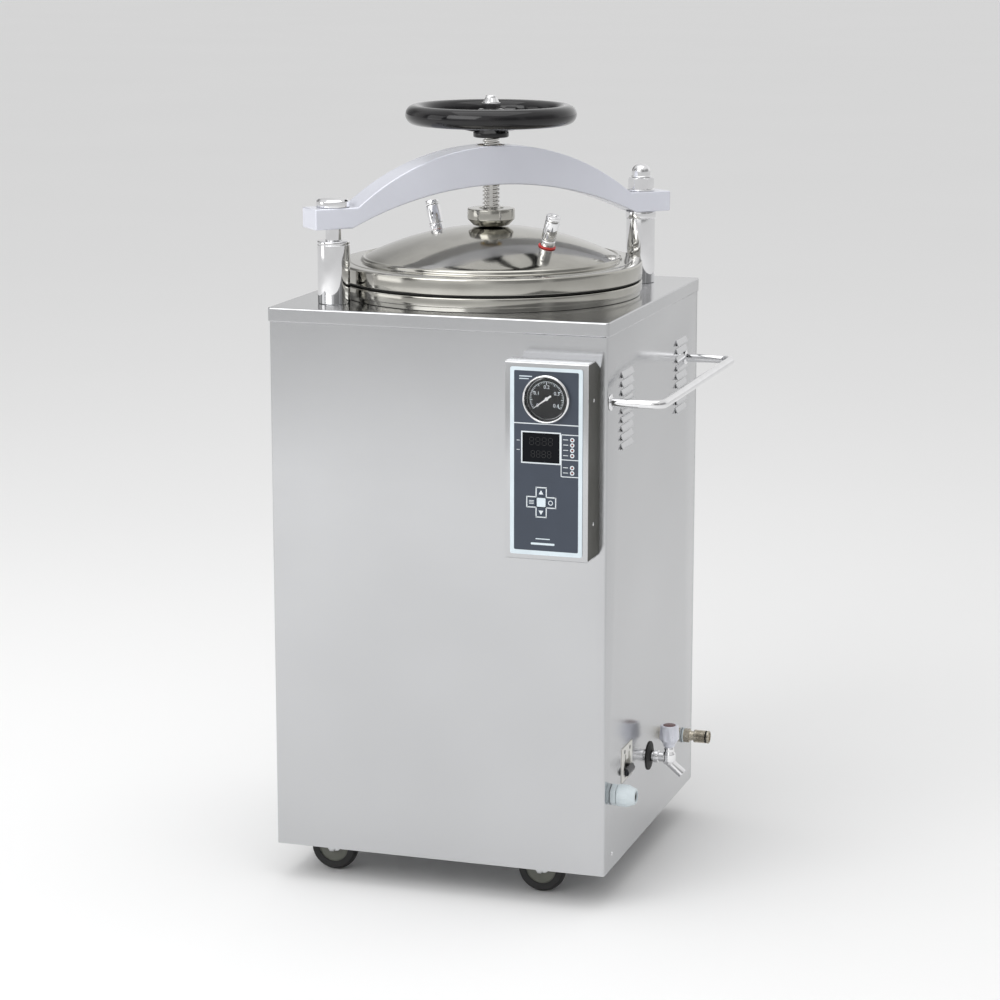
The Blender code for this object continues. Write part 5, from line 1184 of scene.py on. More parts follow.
class AUTOCLAVE_OT_gauge(bpy.types.Operator):
    """Pressure gauge: stepped chrome bezel, dark dial with its scale, white needle, flat glass"""

    bl_idname = "autoclave.gauge"
    bl_label = "Pressure gauge"

    def execute(self, context):
        start, end = low("gauge_case"), high("gauge_case")
        radius, centre = (end.x - start.x) / 2, middle("gauge_case")
        place = facing_front(centre.x, centre.z, end.y)
        deep = end.y - start.y
        dial_y = high("gauge_dial").y
        floor = end.y - dial_y
        profile = [(0, 0), (0.0255, 0, 0.002), (0.0255, end.y - PANEL_Y + 0.0003), (radius, end.y - PANEL_Y + 0.0003),
                   (radius, deep - 0.0016, 0.0012), (radius - 0.0010, deep, 0.0010),
                   (radius - 0.0022, deep, 0.0006), (radius - 0.0030, deep - 0.0012, 0.0005),
                   (radius - 0.0042, deep - 0.0046), (0.0248, floor), (0, floor)]
        case = turned("gauge_bezel", profile, place, 96)
        finish(case, bright_chrome(), "cabinet", ["gauge_case"])
        face_y = low("gauge_dial").y
        thick = dial_y - face_y
        dial = turned("dial_disc", [(0, 0), (0.0245, 0), (0.0245, thick, 0.0003), (0, thick)],
                      facing_front(centre.x, centre.z, dial_y), 96)
        finish(dial, moulded("Dial black", 0.012, 0.012, 0.013, 0.45), "cabinet", ["gauge_dial"])
        marks = []
        sweep, first = radians(250), radians(216)
        for tick in range(41):
            turn = first - sweep * tick / 40
            long = 0.0038 if tick % 10 == 0 else 0.0026 if tick % 5 == 0 else 0.0016
            thin = 0.0008 if tick % 5 == 0 else 0.0004
            spot = facing_front(centre.x, centre.z, face_y) @ Matrix.Rotation(turn, 4, "Z") @ at(0.0205, 0, 0)
            half = thin / 2
            bar = [(-long, -half), (0, -half), (0, half), (-long, half)]
            marks.append(prism("mark", bar, MARK, spot))
        arc = [(0.0207 * cos(first - sweep * n / 48), 0.0207 * sin(first - sweep * n / 48)) for n in range(49)]
        arc += [(0.0211 * cos(first - sweep * n / 48), 0.0211 * sin(first - sweep * n / 48))
                for n in range(48, -1, -1)]
        marks.append(prism("mark", arc, MARK, facing_front(centre.x, centre.z, face_y)))
        for number in range(5):
            turn = first - sweep * number / 4
            spot = facing_front(centre.x + 0.0142 * cos(turn), centre.z + 0.0142 * sin(turn), face_y)
            marks.append(plain_text("mark", f"{number / 10:g}", 0.0062, spot))
        finish(joined("dial_scale", *marks), print_white(), "cabinet")
        needle_y = high("gauge_needle").y
        needle = [(-0.0068, -0.0011), (0.0, -0.0012), (0.0175, -0.0004), (0.0188, 0.0), (0.0175, 0.0004),
                  (0.0, 0.0012), (-0.0068, 0.0011)]
        spot = facing_front(centre.x, centre.z, needle_y) @ Matrix.Rotation(first, 4, "Z")
        arm = prism("needle_arm", needle, 0.0005, spot)
        boss = turned("boss", [(0, 0), (0.0022, 0), (0.0022, 0.0009, 0.0003), (0, 0.0011)],
                      facing_front(centre.x, centre.z, needle_y), 32)
        finish(joined("gauge_pointer", arm, boss), moulded("Needle white", 0.80, 0.80, 0.80, 0.3), "needle",
               ["gauge_needle"])
        glass_y, glass_front = high("gauge_glass").y, low("gauge_glass").y
        glass = turned("gauge_window", [(0, 0), (0.0258, 0, 0.0003), (0.0258, glass_y - glass_front, 0.0004),
                                        (0, glass_y - glass_front)],
                       facing_front(centre.x, centre.z, glass_y), 96)
        finish(glass, clear_glass(), "cabinet", ["gauge_glass"])
        return {"FINISHED"}


class AUTOCLAVE_OT_display(bpy.types.Operator):
    """Dark display window under its printed frame, with unlit digit segments"""

    bl_idname = "autoclave.display"
    bl_label = "Display"

    def execute(self, context):
        start, end, centre = low("display_window"), high("display_window"), middle("display_window")
        pane = strip("display_pane", centre.x, centre.z, end.x - start.x, end.z - start.z, end.y,
                     end.y - start.y - 0.0001, 0.0008)
        dark = moulded("Display black", 0.006, 0.007, 0.009, 0.10)
        dark.node_tree.nodes["Principled BSDF"].inputs["Specular IOR Level"].default_value = 0.08
        finish(pane, dark, "cabinet", ["display_window"])
        parts = []
        for row, count, tall in ((0.0078, 4, 0.0092), (-0.0078, 4, 0.0080)):
            wide = tall * 0.55
            for digit in range(count):
                x = centre.x + (digit - (count - 1) / 2) * wide * 1.55
                z = centre.z + row
                y = start.y + 0.0001
                for step in (-1, 0, 1):
                    parts.append(strip("segment", x, z + step * tall / 2, wide * 0.72, 0.0007, y, 0.00006))
                for side in (-1, 1):
                    for step in (-1, 1):
                        parts.append(strip("segment", x + side * wide / 2, z + step * tall / 4, 0.0007,
                                           tall * 0.36, y, 0.00006))
        finish(joined("unlit_segments", *parts), moulded("Unlit segments", 0.009, 0.009, 0.010, 0.3), "cabinet")
        return {"FINISHED"}


class AUTOCLAVE_OT_keys(bpy.types.Operator):
    """Four soft-edged keys in a cross, each with its printed sign"""

    bl_idname = "autoclave.keys"
    bl_label = "Direction keys"

    def execute(self, context):
        triangle = [(-0.0030, -0.0021), (0.0030, -0.0021), (0.0, 0.0032)]
        turns = {"up": 0.0, "down": pi}
        for name in ("up", "down", "left", "right"):
            node = f"key_{name}"
            start, end, centre = low(node), high(node), middle(node)
            cap = block(f"{node}_cap", start, (end.x, end.y, end.z), 0.0007, 3)
            finish(cap, moulded("Key navy", 0.030, 0.045, 0.070, 0.36), node, [node])
            place = facing_front(centre.x, centre.z, start.y)
            if name in turns:
                sign = prism(f"{node}_sign", triangle, 0.00008, place @ Matrix.Rotation(turns[name], 4, "Z"))
            elif name == "left":
                bars = [strip("bar", centre.x, centre.z + step, 0.0062, 0.0008, start.y, 0.00008)
                        for step in (-0.0018, 0.0, 0.0018)]
                sign = joined(f"{node}_sign", *bars)
            else:
                sign = ring(f"{node}_sign", centre.x, centre.z, 0.0030, 0.0021, start.y, 0.00008)
            finish(sign, print_white(), node)
        return {"FINISHED"}


# Right-hand side fittings ---------------------------------------------------------------------


class AUTOCLAVE_OT_breaker(bpy.types.Operator):
    """Twin-pole breaker set in its window, with a rocking bridge lever"""

    bl_idname = "autoclave.breaker"
    bl_label = "Breaker"

    def execute(self, context):
        start, end = low("breaker_body"), high("breaker_body")
        lever_low, lever_high = low("breaker_lever"), high("breaker_lever")
        body = block("breaker_case", start, end, 0.0009, 3)
        prongs = [(lever_low.y + lever_high.y) / 2 + side * 0.0085 for side in (-1, 1)]
        cut(body, *[block("slot", (lever_low.x - 0.0006, y - 0.0030, lever_low.z - 0.0024),
                          (end.x + 0.01, y + 0.0030, lever_high.z + 0.0155)) for y in prongs])
        cut(body, block("rocker_bay", (end.x - 0.0046, lever_low.y - 0.0006, lever_low.z + 0.0066),
                        (end.x + 0.01, lever_high.y + 0.0006, lever_high.z + 0.0075)))
        groove = block("groove", (end.x - 0.0009, (start.y + end.y) / 2 - 0.0004, start.z - 0.01),
                       (end.x + 0.01, (start.y + end.y) / 2 + 0.0004, lever_low.z - 0.0038))
        cut(body, groove)
        finish(body, moulded("Breaker white", 0.74, 0.73, 0.69, 0.36), "cabinet", ["breaker_body"])
        screws = [turned("terminal", [(0, 0), (0.0027, 0), (0.0027, 0.0004, 0.0002), (0, 0.0004)],
                         facing_side(y, end.z - 0.0062, end.x), 28)
                  for y in (start.y + 0.0130, end.y - 0.0130)]
        finish(joined("breaker_terminals", *screws), moulded("Terminal grey", 0.18, 0.18, 0.18, 0.4), "cabinet")
        middle_z = (lever_low.z + lever_high.z) / 2
        reach = lever_high.x
        grip = [(end.x + 0.0008, middle_z - 0.0056, 0.001), (reach - 0.0010, middle_z - 0.0054, 0.002),
                (reach, middle_z - 0.0010, 0.0012), (reach - 0.0022, middle_z + 0.0036, 0.0016),
                (end.x + 0.0008, middle_z + 0.0050, 0.001)]
        arm = [(lever_low.x, middle_z - 0.0050, 0.004), (end.x + 0.0030, middle_z - 0.0050),
               (end.x + 0.0030, middle_z + 0.0044), (lever_low.x, middle_z + 0.0050, 0.004)]
        upright = Matrix.Rotation(pi / 2, 4, "X")
        bridge = prism("bridge", grip, lever_high.y - lever_low.y, at(0, lever_high.y, 0) @ upright)
        arms = [prism("arm", arm, 0.0044, at(0, y + 0.0022, 0) @ upright) for y in prongs]
        lever = joined("breaker_bridge", bevelled(bridge, 0.0007, 2, 40), *arms)
        finish(lever, moulded("Lever black", 0.012, 0.013, 0.016, 0.26), "breaker_lever",
               ["breaker_lever"])
        return {"FINISHED"}


class AUTOCLAVE_OT_gland(bpy.types.Operator):
    """Nylon cable gland: hexagon flange, ribbed dome cap and an open seal"""

    bl_idname = "autoclave.gland"
    bl_label = "Cable gland"

    def execute(self, context):
        centre, start = middle("cable_gland"), low("cable_gland")
        place = facing_side(centre.y, centre.z, 0)
        flange_end = high("cable_gland").x
        nut = prism("gland_hexagon", regular(6, 0.0142, pi / 6, 0.0010), flange_end - SIDE_X - 0.0006,
                    place @ at(0, 0, SIDE_X + 0.0003))
        bevelled(nut, 0.0007, 2, 50)
        bore = turned("bore", [(0, SIDE_X - 0.01), (0.0062, SIDE_X - 0.01), (0.0062, flange_end + 0.01),
                               (0, flange_end + 0.01)], place, 40)
        cut(nut, bore)
        shank = turned("shank", [(0.0062, start.x), (0.0100, start.x, 0.0006), (0.0100, SIDE_X + 0.0008),
                                 (0.0062, SIDE_X + 0.0008)], place, 48, True)
        nylon = moulded("White nylon", 0.66, 0.73, 0.76, 0.34)
        finish(joined("gland_base", nut, shank), nylon, "cabinet", ["cable_gland"])
        inside, outside = low("gland_cap").x, high("gland_cap").x
        dome = turned("gland_dome", [(0.0068, inside), (0.0134, inside, 0.0006), (0.0138, inside + 0.0020, 0.0006),
                                     (0.0134, outside - 0.0095, 0.004), (0.0098, outside - 0.0006, 0.0030),
                                     (0.0074, outside, 0.0008), (0.0068, outside - 0.0020)], place, 72, True)
        ribs = []
        for number in range(12):
            turn = place @ Matrix.Rotation(2 * pi * number / 12, 4, "Z")
            rib = block("rib", (0.0124, -0.0011, inside + 0.0006), (0.01415, 0.0011, outside - 0.0100), 0.0005)
            rib.matrix_world = turn
            pick(rib)
            bpy.ops.object.transform_apply(location=True, rotation=True, scale=True)
            ribs.append(rib)
        finish(joined("gland_dome_nut", dome, *ribs), nylon, "cabinet", ["gland_cap"])
        seal = turned("gland_seal", [(0.0030, inside + 0.002), (0.0064, inside + 0.002), (0.0064, outside - 0.0026),
                                     (0.0050, outside - 0.0018, 0.0006), (0.0030, outside - 0.0030, 0.0006)],
                      place, 48, True)
        finish(seal, rubber(0.02), "cabinet")
        return {"FINISHED"}


class AUTOCLAVE_OT_tap(bpy.types.Operator):
    """Drain tap: domed escutcheon, chrome body with a down-turned spout, fluted enamelled knob"""

    bl_idname = "autoclave.tap"
    bl_label = "Drain tap"

    def execute(self, context):
        plate_low, plate_high = low("tap_escutcheon"), high("tap_escutcheon")
        centre = middle("tap_escutcheon")
        place = facing_side(centre.y, centre.z, 0)
        radius = (plate_high.z - plate_low.z) / 2
        plate = turned("tap_rose", [(0.0072, plate_low.x), (radius, plate_low.x, 0.0006),
                                    (radius, plate_low.x + 0.0009, 0.0005), (0.0130, plate_high.x - 0.0006, 0.004),
                                    (0.0072, plate_high.x)], place, 72, True)
        finish(plate, rubber(0.012), "cabinet", ["tap_escutcheon"])
        start, knob = low("tap_body"), middle("tap_knob")
        valve_x = knob.x
        barrel = turned("barrel", [(0, start.x), (0.0058, start.x, 0.0006), (0.0058, SIDE_X + 0.006),
                                   (0.0084, SIDE_X + 0.0066, 0.0006), (0.0084, SIDE_X + 0.0130, 0.0006),
                                   (0.0066, SIDE_X + 0.0140), (0.0066, valve_x + 0.006, 0.0020),
                                   (0, valve_x + 0.006)], place, 48)
        body_z = low("tap_knob").z - 0.0003
        tower = turned("tower", [(0, centre.z - 0.0090), (0.0070, centre.z - 0.0090, 0.0020),
                                 (0.0086, centre.z - 0.004, 0.0020), (0.0086, centre.z + 0.0050, 0.0020),
                                 (0.0066, centre.z + 0.0080, 0.0010), (0.0066, body_z - 0.003, 0.0006),
                                 (0.0050, body_z, 0.0006), (0, body_z)], at(valve_x, centre.y, 0), 48)
        tilt = radians(50)
        down = Vector((sin(tilt), 0, -cos(tilt)))
        spout = turned("spout", [(0, -0.002), (0.0062, -0.002), (0.0062, 0.0296, 0.0008), (0.0044, 0.0296, 0.0004),
                                 (0.0044, 0.0200), (0, 0.0200)],
                       towards(down, (valve_x - 0.004, centre.y, centre.z - 0.0020)), 48)
        welded(barrel, tower, spout)
        barrel.name = "tap_nickel_body"
        finish(barrel, bright_chrome(), "cabinet", ["tap_body"])
        knob_low, knob_high = low("tap_knob"), high("tap_knob")
        outer, count = (knob_high.x - knob_low.x) / 2, sizes().knob_flutes
        tall = knob_high.z - knob_low.z
        flutes = []
        for number in range(count * 8):
            turn = 2 * pi * number / (count * 8)
            dip = 0.0006 * (1 + cos(count * turn))
            flutes.append(((outer - 0.0002 - dip) * cos(turn), (outer - 0.0002 - dip) * sin(turn)))
        grip = prism("grip", flutes, tall, at(0, 0, 0), 50)
        crown = tall - 0.0006
        shape = turned("shape", [(0, -0.001), (outer * 0.55, -0.001), (outer * 0.62, 0.0040, 0.002),
                                 (outer * 1.02, 0.0105, 0.002), (outer * 0.90, crown, 0.0015), (0, crown)], None, 64)
        apply(grip, "BOOLEAN", operation="INTERSECT", solver="EXACT", object=shape)
        bpy.data.objects.remove(shape)
        settle(grip, at(knob.x, knob.y, knob_low.z), 36)
        grip.name = "tap_faceted_knob"
        finish(grip, silver_enamel(), "tap_knob", ["tap_knob"])
        button = turned("tap_knob_button", [(0, 0), (outer * 0.62, 0), (outer * 0.62, 0.0005, 0.0002), (0, 0.0006)],
                        at(knob.x, knob.y, knob_low.z + crown), 40)
        finish(button, moulded("Dark red button", 0.10, 0.012, 0.014, 0.25), "tap_knob")
        return {"FINISHED"}


class AUTOCLAVE_OT_exhaust(bpy.types.Operator):
    """Exhaust quick coupler: hexagon, knurled sliding sleeve and bored nose"""

    bl_idname = "autoclave.exhaust"
    bl_label = "Exhaust coupler"

    def execute(self, context):
        start, end, centre = low("exhaust_coupler"), high("exhaust_coupler"), middle("exhaust_coupler")
        place = facing_side(centre.y, centre.z, 0)
        sleeve_low, sleeve_high = low("exhaust_sleeve").x, high("exhaust_sleeve").x
        body = turned("stem", [(0.0032, start.x), (0.0068, start.x, 0.0005), (0.0068, SIDE_X + 0.0008),
                               (0.0088, SIDE_X + 0.0012), (0.0088, SIDE_X + 0.0022, 0.0004),
                               (0.0064, sleeve_low - 0.003), (0.0064, end.x, 0.0008), (0.0040, end.x, 0.0004),
                               (0.0032, end.x - 0.004)], place, 56, True)
        hexagon = prism("hexagon", regular(6, 0.0099, 0, 0.0008), sleeve_low - SIDE_X - 0.0086,
                        place @ at(0, 0, SIDE_X + 0.0025))
        bevelled(hexagon, 0.0006, 2, 50)
        bore = turned("bore", [(0, SIDE_X - 0.01), (0.0066, SIDE_X - 0.01), (0.0066, sleeve_high), (0, sleeve_high)],
                      place, 40)
        cut(hexagon, bore)
        finish(joined("coupler_body", body, hexagon), dull_nickel(), "cabinet", ["exhaust_coupler"])
        washer = turned("coupler_washer", [(0.0092, SIDE_X + 0.0003), (0.0104, SIDE_X + 0.0003, 0.0004),
                                           (0.0104, SIDE_X + 0.0024, 0.0005), (0.0092, SIDE_X + 0.0024)],
                        place, 56, True)
        finish(washer, moulded("White nylon", 0.66, 0.73, 0.76, 0.34), "cabinet")
        radius = 0.0088
        profile = [(0.0068, sleeve_low), (radius, sleeve_low, 0.0006), (radius, sleeve_low + 0.0030, 0.0003)]
        along = sleeve_low + 0.0034
        while along < sleeve_high - 0.0065:
            profile += [(radius - 0.0006, along), (radius - 0.0006, along + 0.0005), (radius, along + 0.0009),
                        (radius, along + 0.0014)]
            along += 0.0018
        profile += [(radius - 0.0012, sleeve_high - 0.0050, 0.0004), (radius - 0.0012, sleeve_high - 0.0036, 0.0004),
                    (radius, sleeve_high - 0.0030, 0.0004), (radius, sleeve_high, 0.0010), (0.0068, sleeve_high)]
        sleeve = turned("coupler_sleeve", profile, place, 72, True)
        finish(sleeve, dull_nickel(), "exhaust_sleeve", ["exhaust_sleeve"])
        band = [(0.0078 + 0.0007 * cos(2 * pi * n / 12), sleeve_high - 0.0043 + 0.0007 * sin(2 * pi * n / 12))
                for n in range(12)]
        finish(turned("coupler_band", band, place, 56, True, 60), rubber(0.012), "exhaust_sleeve")
        return {"FINISHED"}


class AUTOCLAVE_OT_push_handle(bpy.types.Operator):
    """Push handle: one bent tube between two wall flanges on the right side"""

    bl_idname = "autoclave.push_handle"
    bl_label = "Push handle"

    def execute(self, context):
        start, end, centre = low("side_handle"), high("side_handle"), middle("side_handle")
        radius = (end.z - start.z) / 2
        bar_x, bend = end.x - radius, 0.014
        first, last = start.y + radius, end.y - radius
        clear_selection()
        bpy.ops.mesh.primitive_circle_add(vertices=32, radius=radius, fill_type="NGON", location=(0, 0, 0))
        tube = named("bent_handle")
        bpy.ops.object.mode_set(mode="EDIT")
        bpy.ops.mesh.select_all(action="SELECT")
        bpy.ops.transform.rotate(value=-pi / 2, orient_axis="Y", center_override=(0, 0, 0))
        bpy.ops.transform.translate(value=(start.x + 0.0002, first, centre.z))
        bpy.ops.mesh.extrude_region_move(TRANSFORM_OT_translate={"value": (bar_x - bend - start.x - 0.0002, 0, 0)})
        bpy.ops.mesh.spin(steps=14, angle=-pi / 2, center=(bar_x - bend, first + bend, centre.z), axis=(0, 0, 1))
        bpy.ops.mesh.extrude_region_move(TRANSFORM_OT_translate={"value": (0, last - first - 2 * bend, 0)})
        bpy.ops.mesh.spin(steps=14, angle=-pi / 2, center=(bar_x - bend, last - bend, centre.z), axis=(0, 0, 1))
        bpy.ops.mesh.extrude_region_move(TRANSFORM_OT_translate={"value": (start.x + 0.0002 - bar_x + bend, 0, 0)})
        settle(tube, None, 50)
        roses = [turned("rose", [(radius + 0.0001, 0.0002), (radius + 0.0045, 0.0002, 0.0004),
                                 (radius + 0.0045, 0.0018, 0.0008), (radius + 0.0001, 0.0030)],
                        facing_side(y, centre.z, SIDE_X), 48, True) for y in (first, last)]
        finish(joined("push_handle", tube, *roses), bright_chrome(), "cabinet", ["side_handle"])
        return {"FINISHED"}


# Castors --------------------------------------------------------------------------------------


class AUTOCLAVE_OT_castors(bpy.types.Operator):
    """Twin-race swivel castors with pressed forks, crowned tyres, hubs and axle nuts"""

    bl_idname = "autoclave.castors"
    bl_label = "Castors"

    def execute(self, context):
        corners = ("front_left", "front_right", "rear_left", "rear_right")
        model = "front_left"
        wheel_low, wheel_high = low(f"castor_wheel_{model}"), high(f"castor_wheel_{model}")
        fork_low, fork_high = low(f"castor_fork_{model}"), high(f"castor_fork_{model}")
        radius, half = (wheel_high.z - wheel_low.z) / 2, (wheel_high.y - wheel_low.y) / 2
        axle = middle(f"castor_wheel_{model}")
        swivel_x = axle.x + 0.020
        lie = at(axle.x, axle.y, axle.z) @ Matrix.Rotation(pi / 2, 4, "X")
        hub_r = radius * 0.64
        tyre = turned("tyre", [(hub_r, -half + 0.002), (radius - 0.0032, -half + 0.0004, 0.0020),
                               (radius - 0.0006, -half * 0.45, 0.004), (radius, 0, 0.010),
                               (radius - 0.0006, half * 0.45, 0.004), (radius - 0.0032, half - 0.0004, 0.0020),
                               (hub_r, half - 0.002)], lie, 72, True)
        hub = turned("wheel_hub", [(0.0044, -half), (0.0080, -half, 0.0006), (0.0086, -half + 0.0030, 0.001),
                                   (hub_r - 0.0016, -half + 0.0040, 0.001), (hub_r, -half + 0.0022, 0.0005),
                                   (hub_r, half - 0.0022, 0.0005), (hub_r - 0.0016, half - 0.0040, 0.001),
                                   (0.0086, half - 0.0030, 0.001), (0.0080, half, 0.0006), (0.0044, half)],
                     lie, 64, True)
        inner, outer, sheet = half + 0.0008, fork_high.y - axle.y - 0.0032, 0.0022
        plate_z = 0.0665
        width_top = 0.0150
        leg = [(axle.x - 0.0088, axle.z - 0.0030, 0.006), (axle.x + 0.0088, axle.z - 0.0040, 0.006),
               (swivel_x + width_top, plate_z - 0.003, 0.002), (swivel_x + width_top, plate_z, 0.001),
               (swivel_x - width_top, plate_z, 0.001), (swivel_x - width_top, plate_z - 0.006, 0.004)]
        upright = Matrix.Rotation(pi / 2, 4, "X")
        legs = [prism("leg", leg, sheet, at(0, axle.y + y, 0) @ upright)
                for y in (-inner, inner + sheet)]
        for piece in legs:
            bevelled(piece, 0.0005, 2, 50)
        crown = block("crown", (swivel_x - width_top, axle.y - inner - sheet, plate_z - sheet),
                      (swivel_x + width_top, axle.y + inner + sheet, plate_z), 0.0008)
        race_r = min(0.0195, (fork_high.y - fork_low.y) / 2)
        top = fork_high.z
        race = turned("race", [(0, plate_z - 0.0003), (race_r - 0.002, plate_z - 0.0003, 0.001),
                               (race_r, plate_z + 0.0022, 0.0018), (race_r - 0.0008, plate_z + 0.0050, 0.0010),
                               (race_r - 0.0022, plate_z + 0.0056, 0.0004), (race_r - 0.0022, plate_z + 0.0064),
                               (race_r - 0.0006, plate_z + 0.0070, 0.0010), (race_r - 0.0006, plate_z + 0.0110, 0.0014),
                               (0.0062, plate_z + 0.0126, 0.0010), (0.0060, top, 0.0010), (0, top)],
                      at(swivel_x, axle.y, 0), 64)
        bolts = [turned("axle_nut", [(0, outer_y), (0.0052, outer_y), (0.0052, outer_y + 0.0026, 0.0010),
                                     (0.0030, outer_y + 0.0034, 0.0008), (0, outer_y + 0.0034)], side, 6)
                 for side, outer_y in ((lie, inner + sheet - 0.0002),
                                       (lie @ Matrix.Rotation(pi, 4, "X"), inner + sheet - 0.0002))]
        pin = turned("pin", [(0, -inner - sheet), (0.0040, -inner - sheet), (0.0040, inner + sheet),
                             (0, inner + sheet)], lie, 32)
        fork = joined("fork", crown, *legs, race, *bolts, pin)
        for corner in corners:
            moved = middle(f"castor_wheel_{corner}") - axle
            place = at(*moved)
            plated = metal("Zinc plate", 0.62, 0.63, 0.64, 0.24)
            finish(copy_of(fork, f"castor_yoke_{corner}", place), plated, f"fork_{corner}",
                   [f"castor_fork_{corner}"])
            finish(copy_of(tyre, f"castor_tyre_{corner}", place), rubber(0.018), f"wheel_{corner}",
                   [f"castor_wheel_{corner}"])
            finish(copy_of(hub, f"castor_hub_{corner}", place), moulded("Olive hub", *colours().hub, 0.42),
                   f"wheel_{corner}")
        for piece in (fork, tyre, hub):
            bpy.data.objects.remove(piece)
        return {"FINISHED"}


# Inside ---------------------------------------------------------------------------------------


class AUTOCLAVE_OT_basket(bpy.types.Operator):
    """Woven wire basket with hoops, and its folding bail"""

    bl_idname = "autoclave.basket"
    bl_label = "Basket"

    def execute(self, context):
        start, end = low("basket"), high("basket")
        radius, rim = (end.x - start.x) / 2 - 0.0012, end.z - 0.0110
        clear_selection()
        bpy.ops.mesh.primitive_cylinder_add(vertices=60, radius=radius, depth=rim - start.z - 0.004,
                                            end_fill_type="NOTHING",
                                            location=(AXIS.x, AXIS.y, (start.z + rim) / 2))
        mesh = named("wire")
        bpy.ops.object.mode_set(mode="EDIT")
        bpy.ops.mesh.select_mode(type="EDGE")
        bpy.ops.mesh.select_all(action="DESELECT")
        bpy.ops.object.mode_set(mode="OBJECT")
        for edge in mesh.data.edges:
            ends = [mesh.data.vertices[number].co.z for number in edge.vertices]
            edge.select = abs(ends[0] - ends[1]) > 0.1
        bpy.ops.object.mode_set(mode="EDIT")
        bpy.ops.mesh.subdivide(number_cuts=15)
        bpy.ops.mesh.select_mode(type="FACE")
        bpy.ops.mesh.select_all(action="SELECT")
        bpy.ops.mesh.inset(thickness=0.0011, depth=0, use_individual=True)
        bpy.ops.mesh.delete(type="FACE")
        bpy.ops.object.mode_set(mode="OBJECT")
        apply(mesh, "SOLIDIFY", thickness=0.0016, offset=0)
        settle(mesh, None, 60)
        hoops = []
        for height, thick in ((start.z + 0.0024, 0.0022), (rim - 0.0022, 0.0022)):
            section = [(radius + thick * cos(2 * pi * n / 12), height + thick * sin(2 * pi * n / 12))
                       for n in range(12)]
            hoops.append(turned("hoop", section, at(AXIS.x, AXIS.y, 0), 96, True, 60))
        clear_selection()
        bpy.ops.mesh.primitive_grid_add(x_subdivisions=26, y_subdivisions=26, size=2 * radius,
                                        location=(AXIS.x, AXIS.y, start.z + 0.0024))
        floor = named("floor")
        bpy.ops.object.mode_set(mode="EDIT")
        bpy.ops.mesh.inset(thickness=0.0010, depth=0, use_individual=True)
        bpy.ops.mesh.delete(type="FACE")
        bpy.ops.object.mode_set(mode="OBJECT")
        bpy.ops.object.transform_apply(location=True, rotation=True, scale=True)
        apply(floor, "SOLIDIFY", thickness=0.0016, offset=0)
        disc = turned("disc", [(0, start.z - 0.01), (radius, start.z - 0.01), (radius, start.z + 0.02),
                               (0, start.z + 0.02)], at(AXIS.x, AXIS.y, 0), 96)
        apply(floor, "BOOLEAN", operation="INTERSECT", solver="EXACT", object=disc)
        bpy.data.objects.remove(disc)
        bail_low = low("basket_bail")
        ears = []
        for side in (-1, 1):
            eye_z = bail_low.z + 0.003
            tab = prism("ear", [(-0.006, -0.010, 0.001), (0.006, -0.010, 0.001), (0.006, 0.004, 0.004),
                                (-0.006, 0.004, 0.004)], 0.0015,
                        at(AXIS.x + side * (radius - 0.0030) - 0.00075, AXIS.y, eye_z)
                        @ Matrix.Rotation(pi / 2, 4, "Z") @ Matrix.Rotation(pi / 2, 4, "X"))
            ears.append(tab)
        steel = metal("Basket wire", 0.58, 0.58, 0.58, 0.24)
        finish(joined("wire_basket", mesh, floor, *hoops, *ears), steel, "basket", ["basket"])
        bail = refined("basket_bail", 0.0003, 1)
        finish(bail, steel, "bail", ["basket_bail"])
        return {"FINISHED"}


class AUTOCLAVE_OT_inside(bpy.types.Operator):
    """Finishes for the nodes that stay as they are: jacket, heater, sieve, ring, tray, drain"""

    bl_idname = "autoclave.inside"
    bl_label = "Inside and underside"

    def execute(self, context):
        surfaces = {
            "insulation_jacket": wool(),
            "heater": metal("Heater sheath", 0.30, 0.27, 0.24, 0.32),
            "sieve_plate": polished_steel("sieve"),
            "anchor_ring": metal("Zinc plate", 0.62, 0.63, 0.64, 0.24),
            "drain_pipe": metal("Drawn copper", 0.66, 0.36, 0.22, 0.24),
            "floor_tray": satin_sheet("across"),
        }
        for node, surface in surfaces.items():
            NODES[node].data.materials.clear()
            NODES[node].data.materials.append(surface)
        return {"FINISHED"}


# Stage ----------------------------------------------------------------------------------------


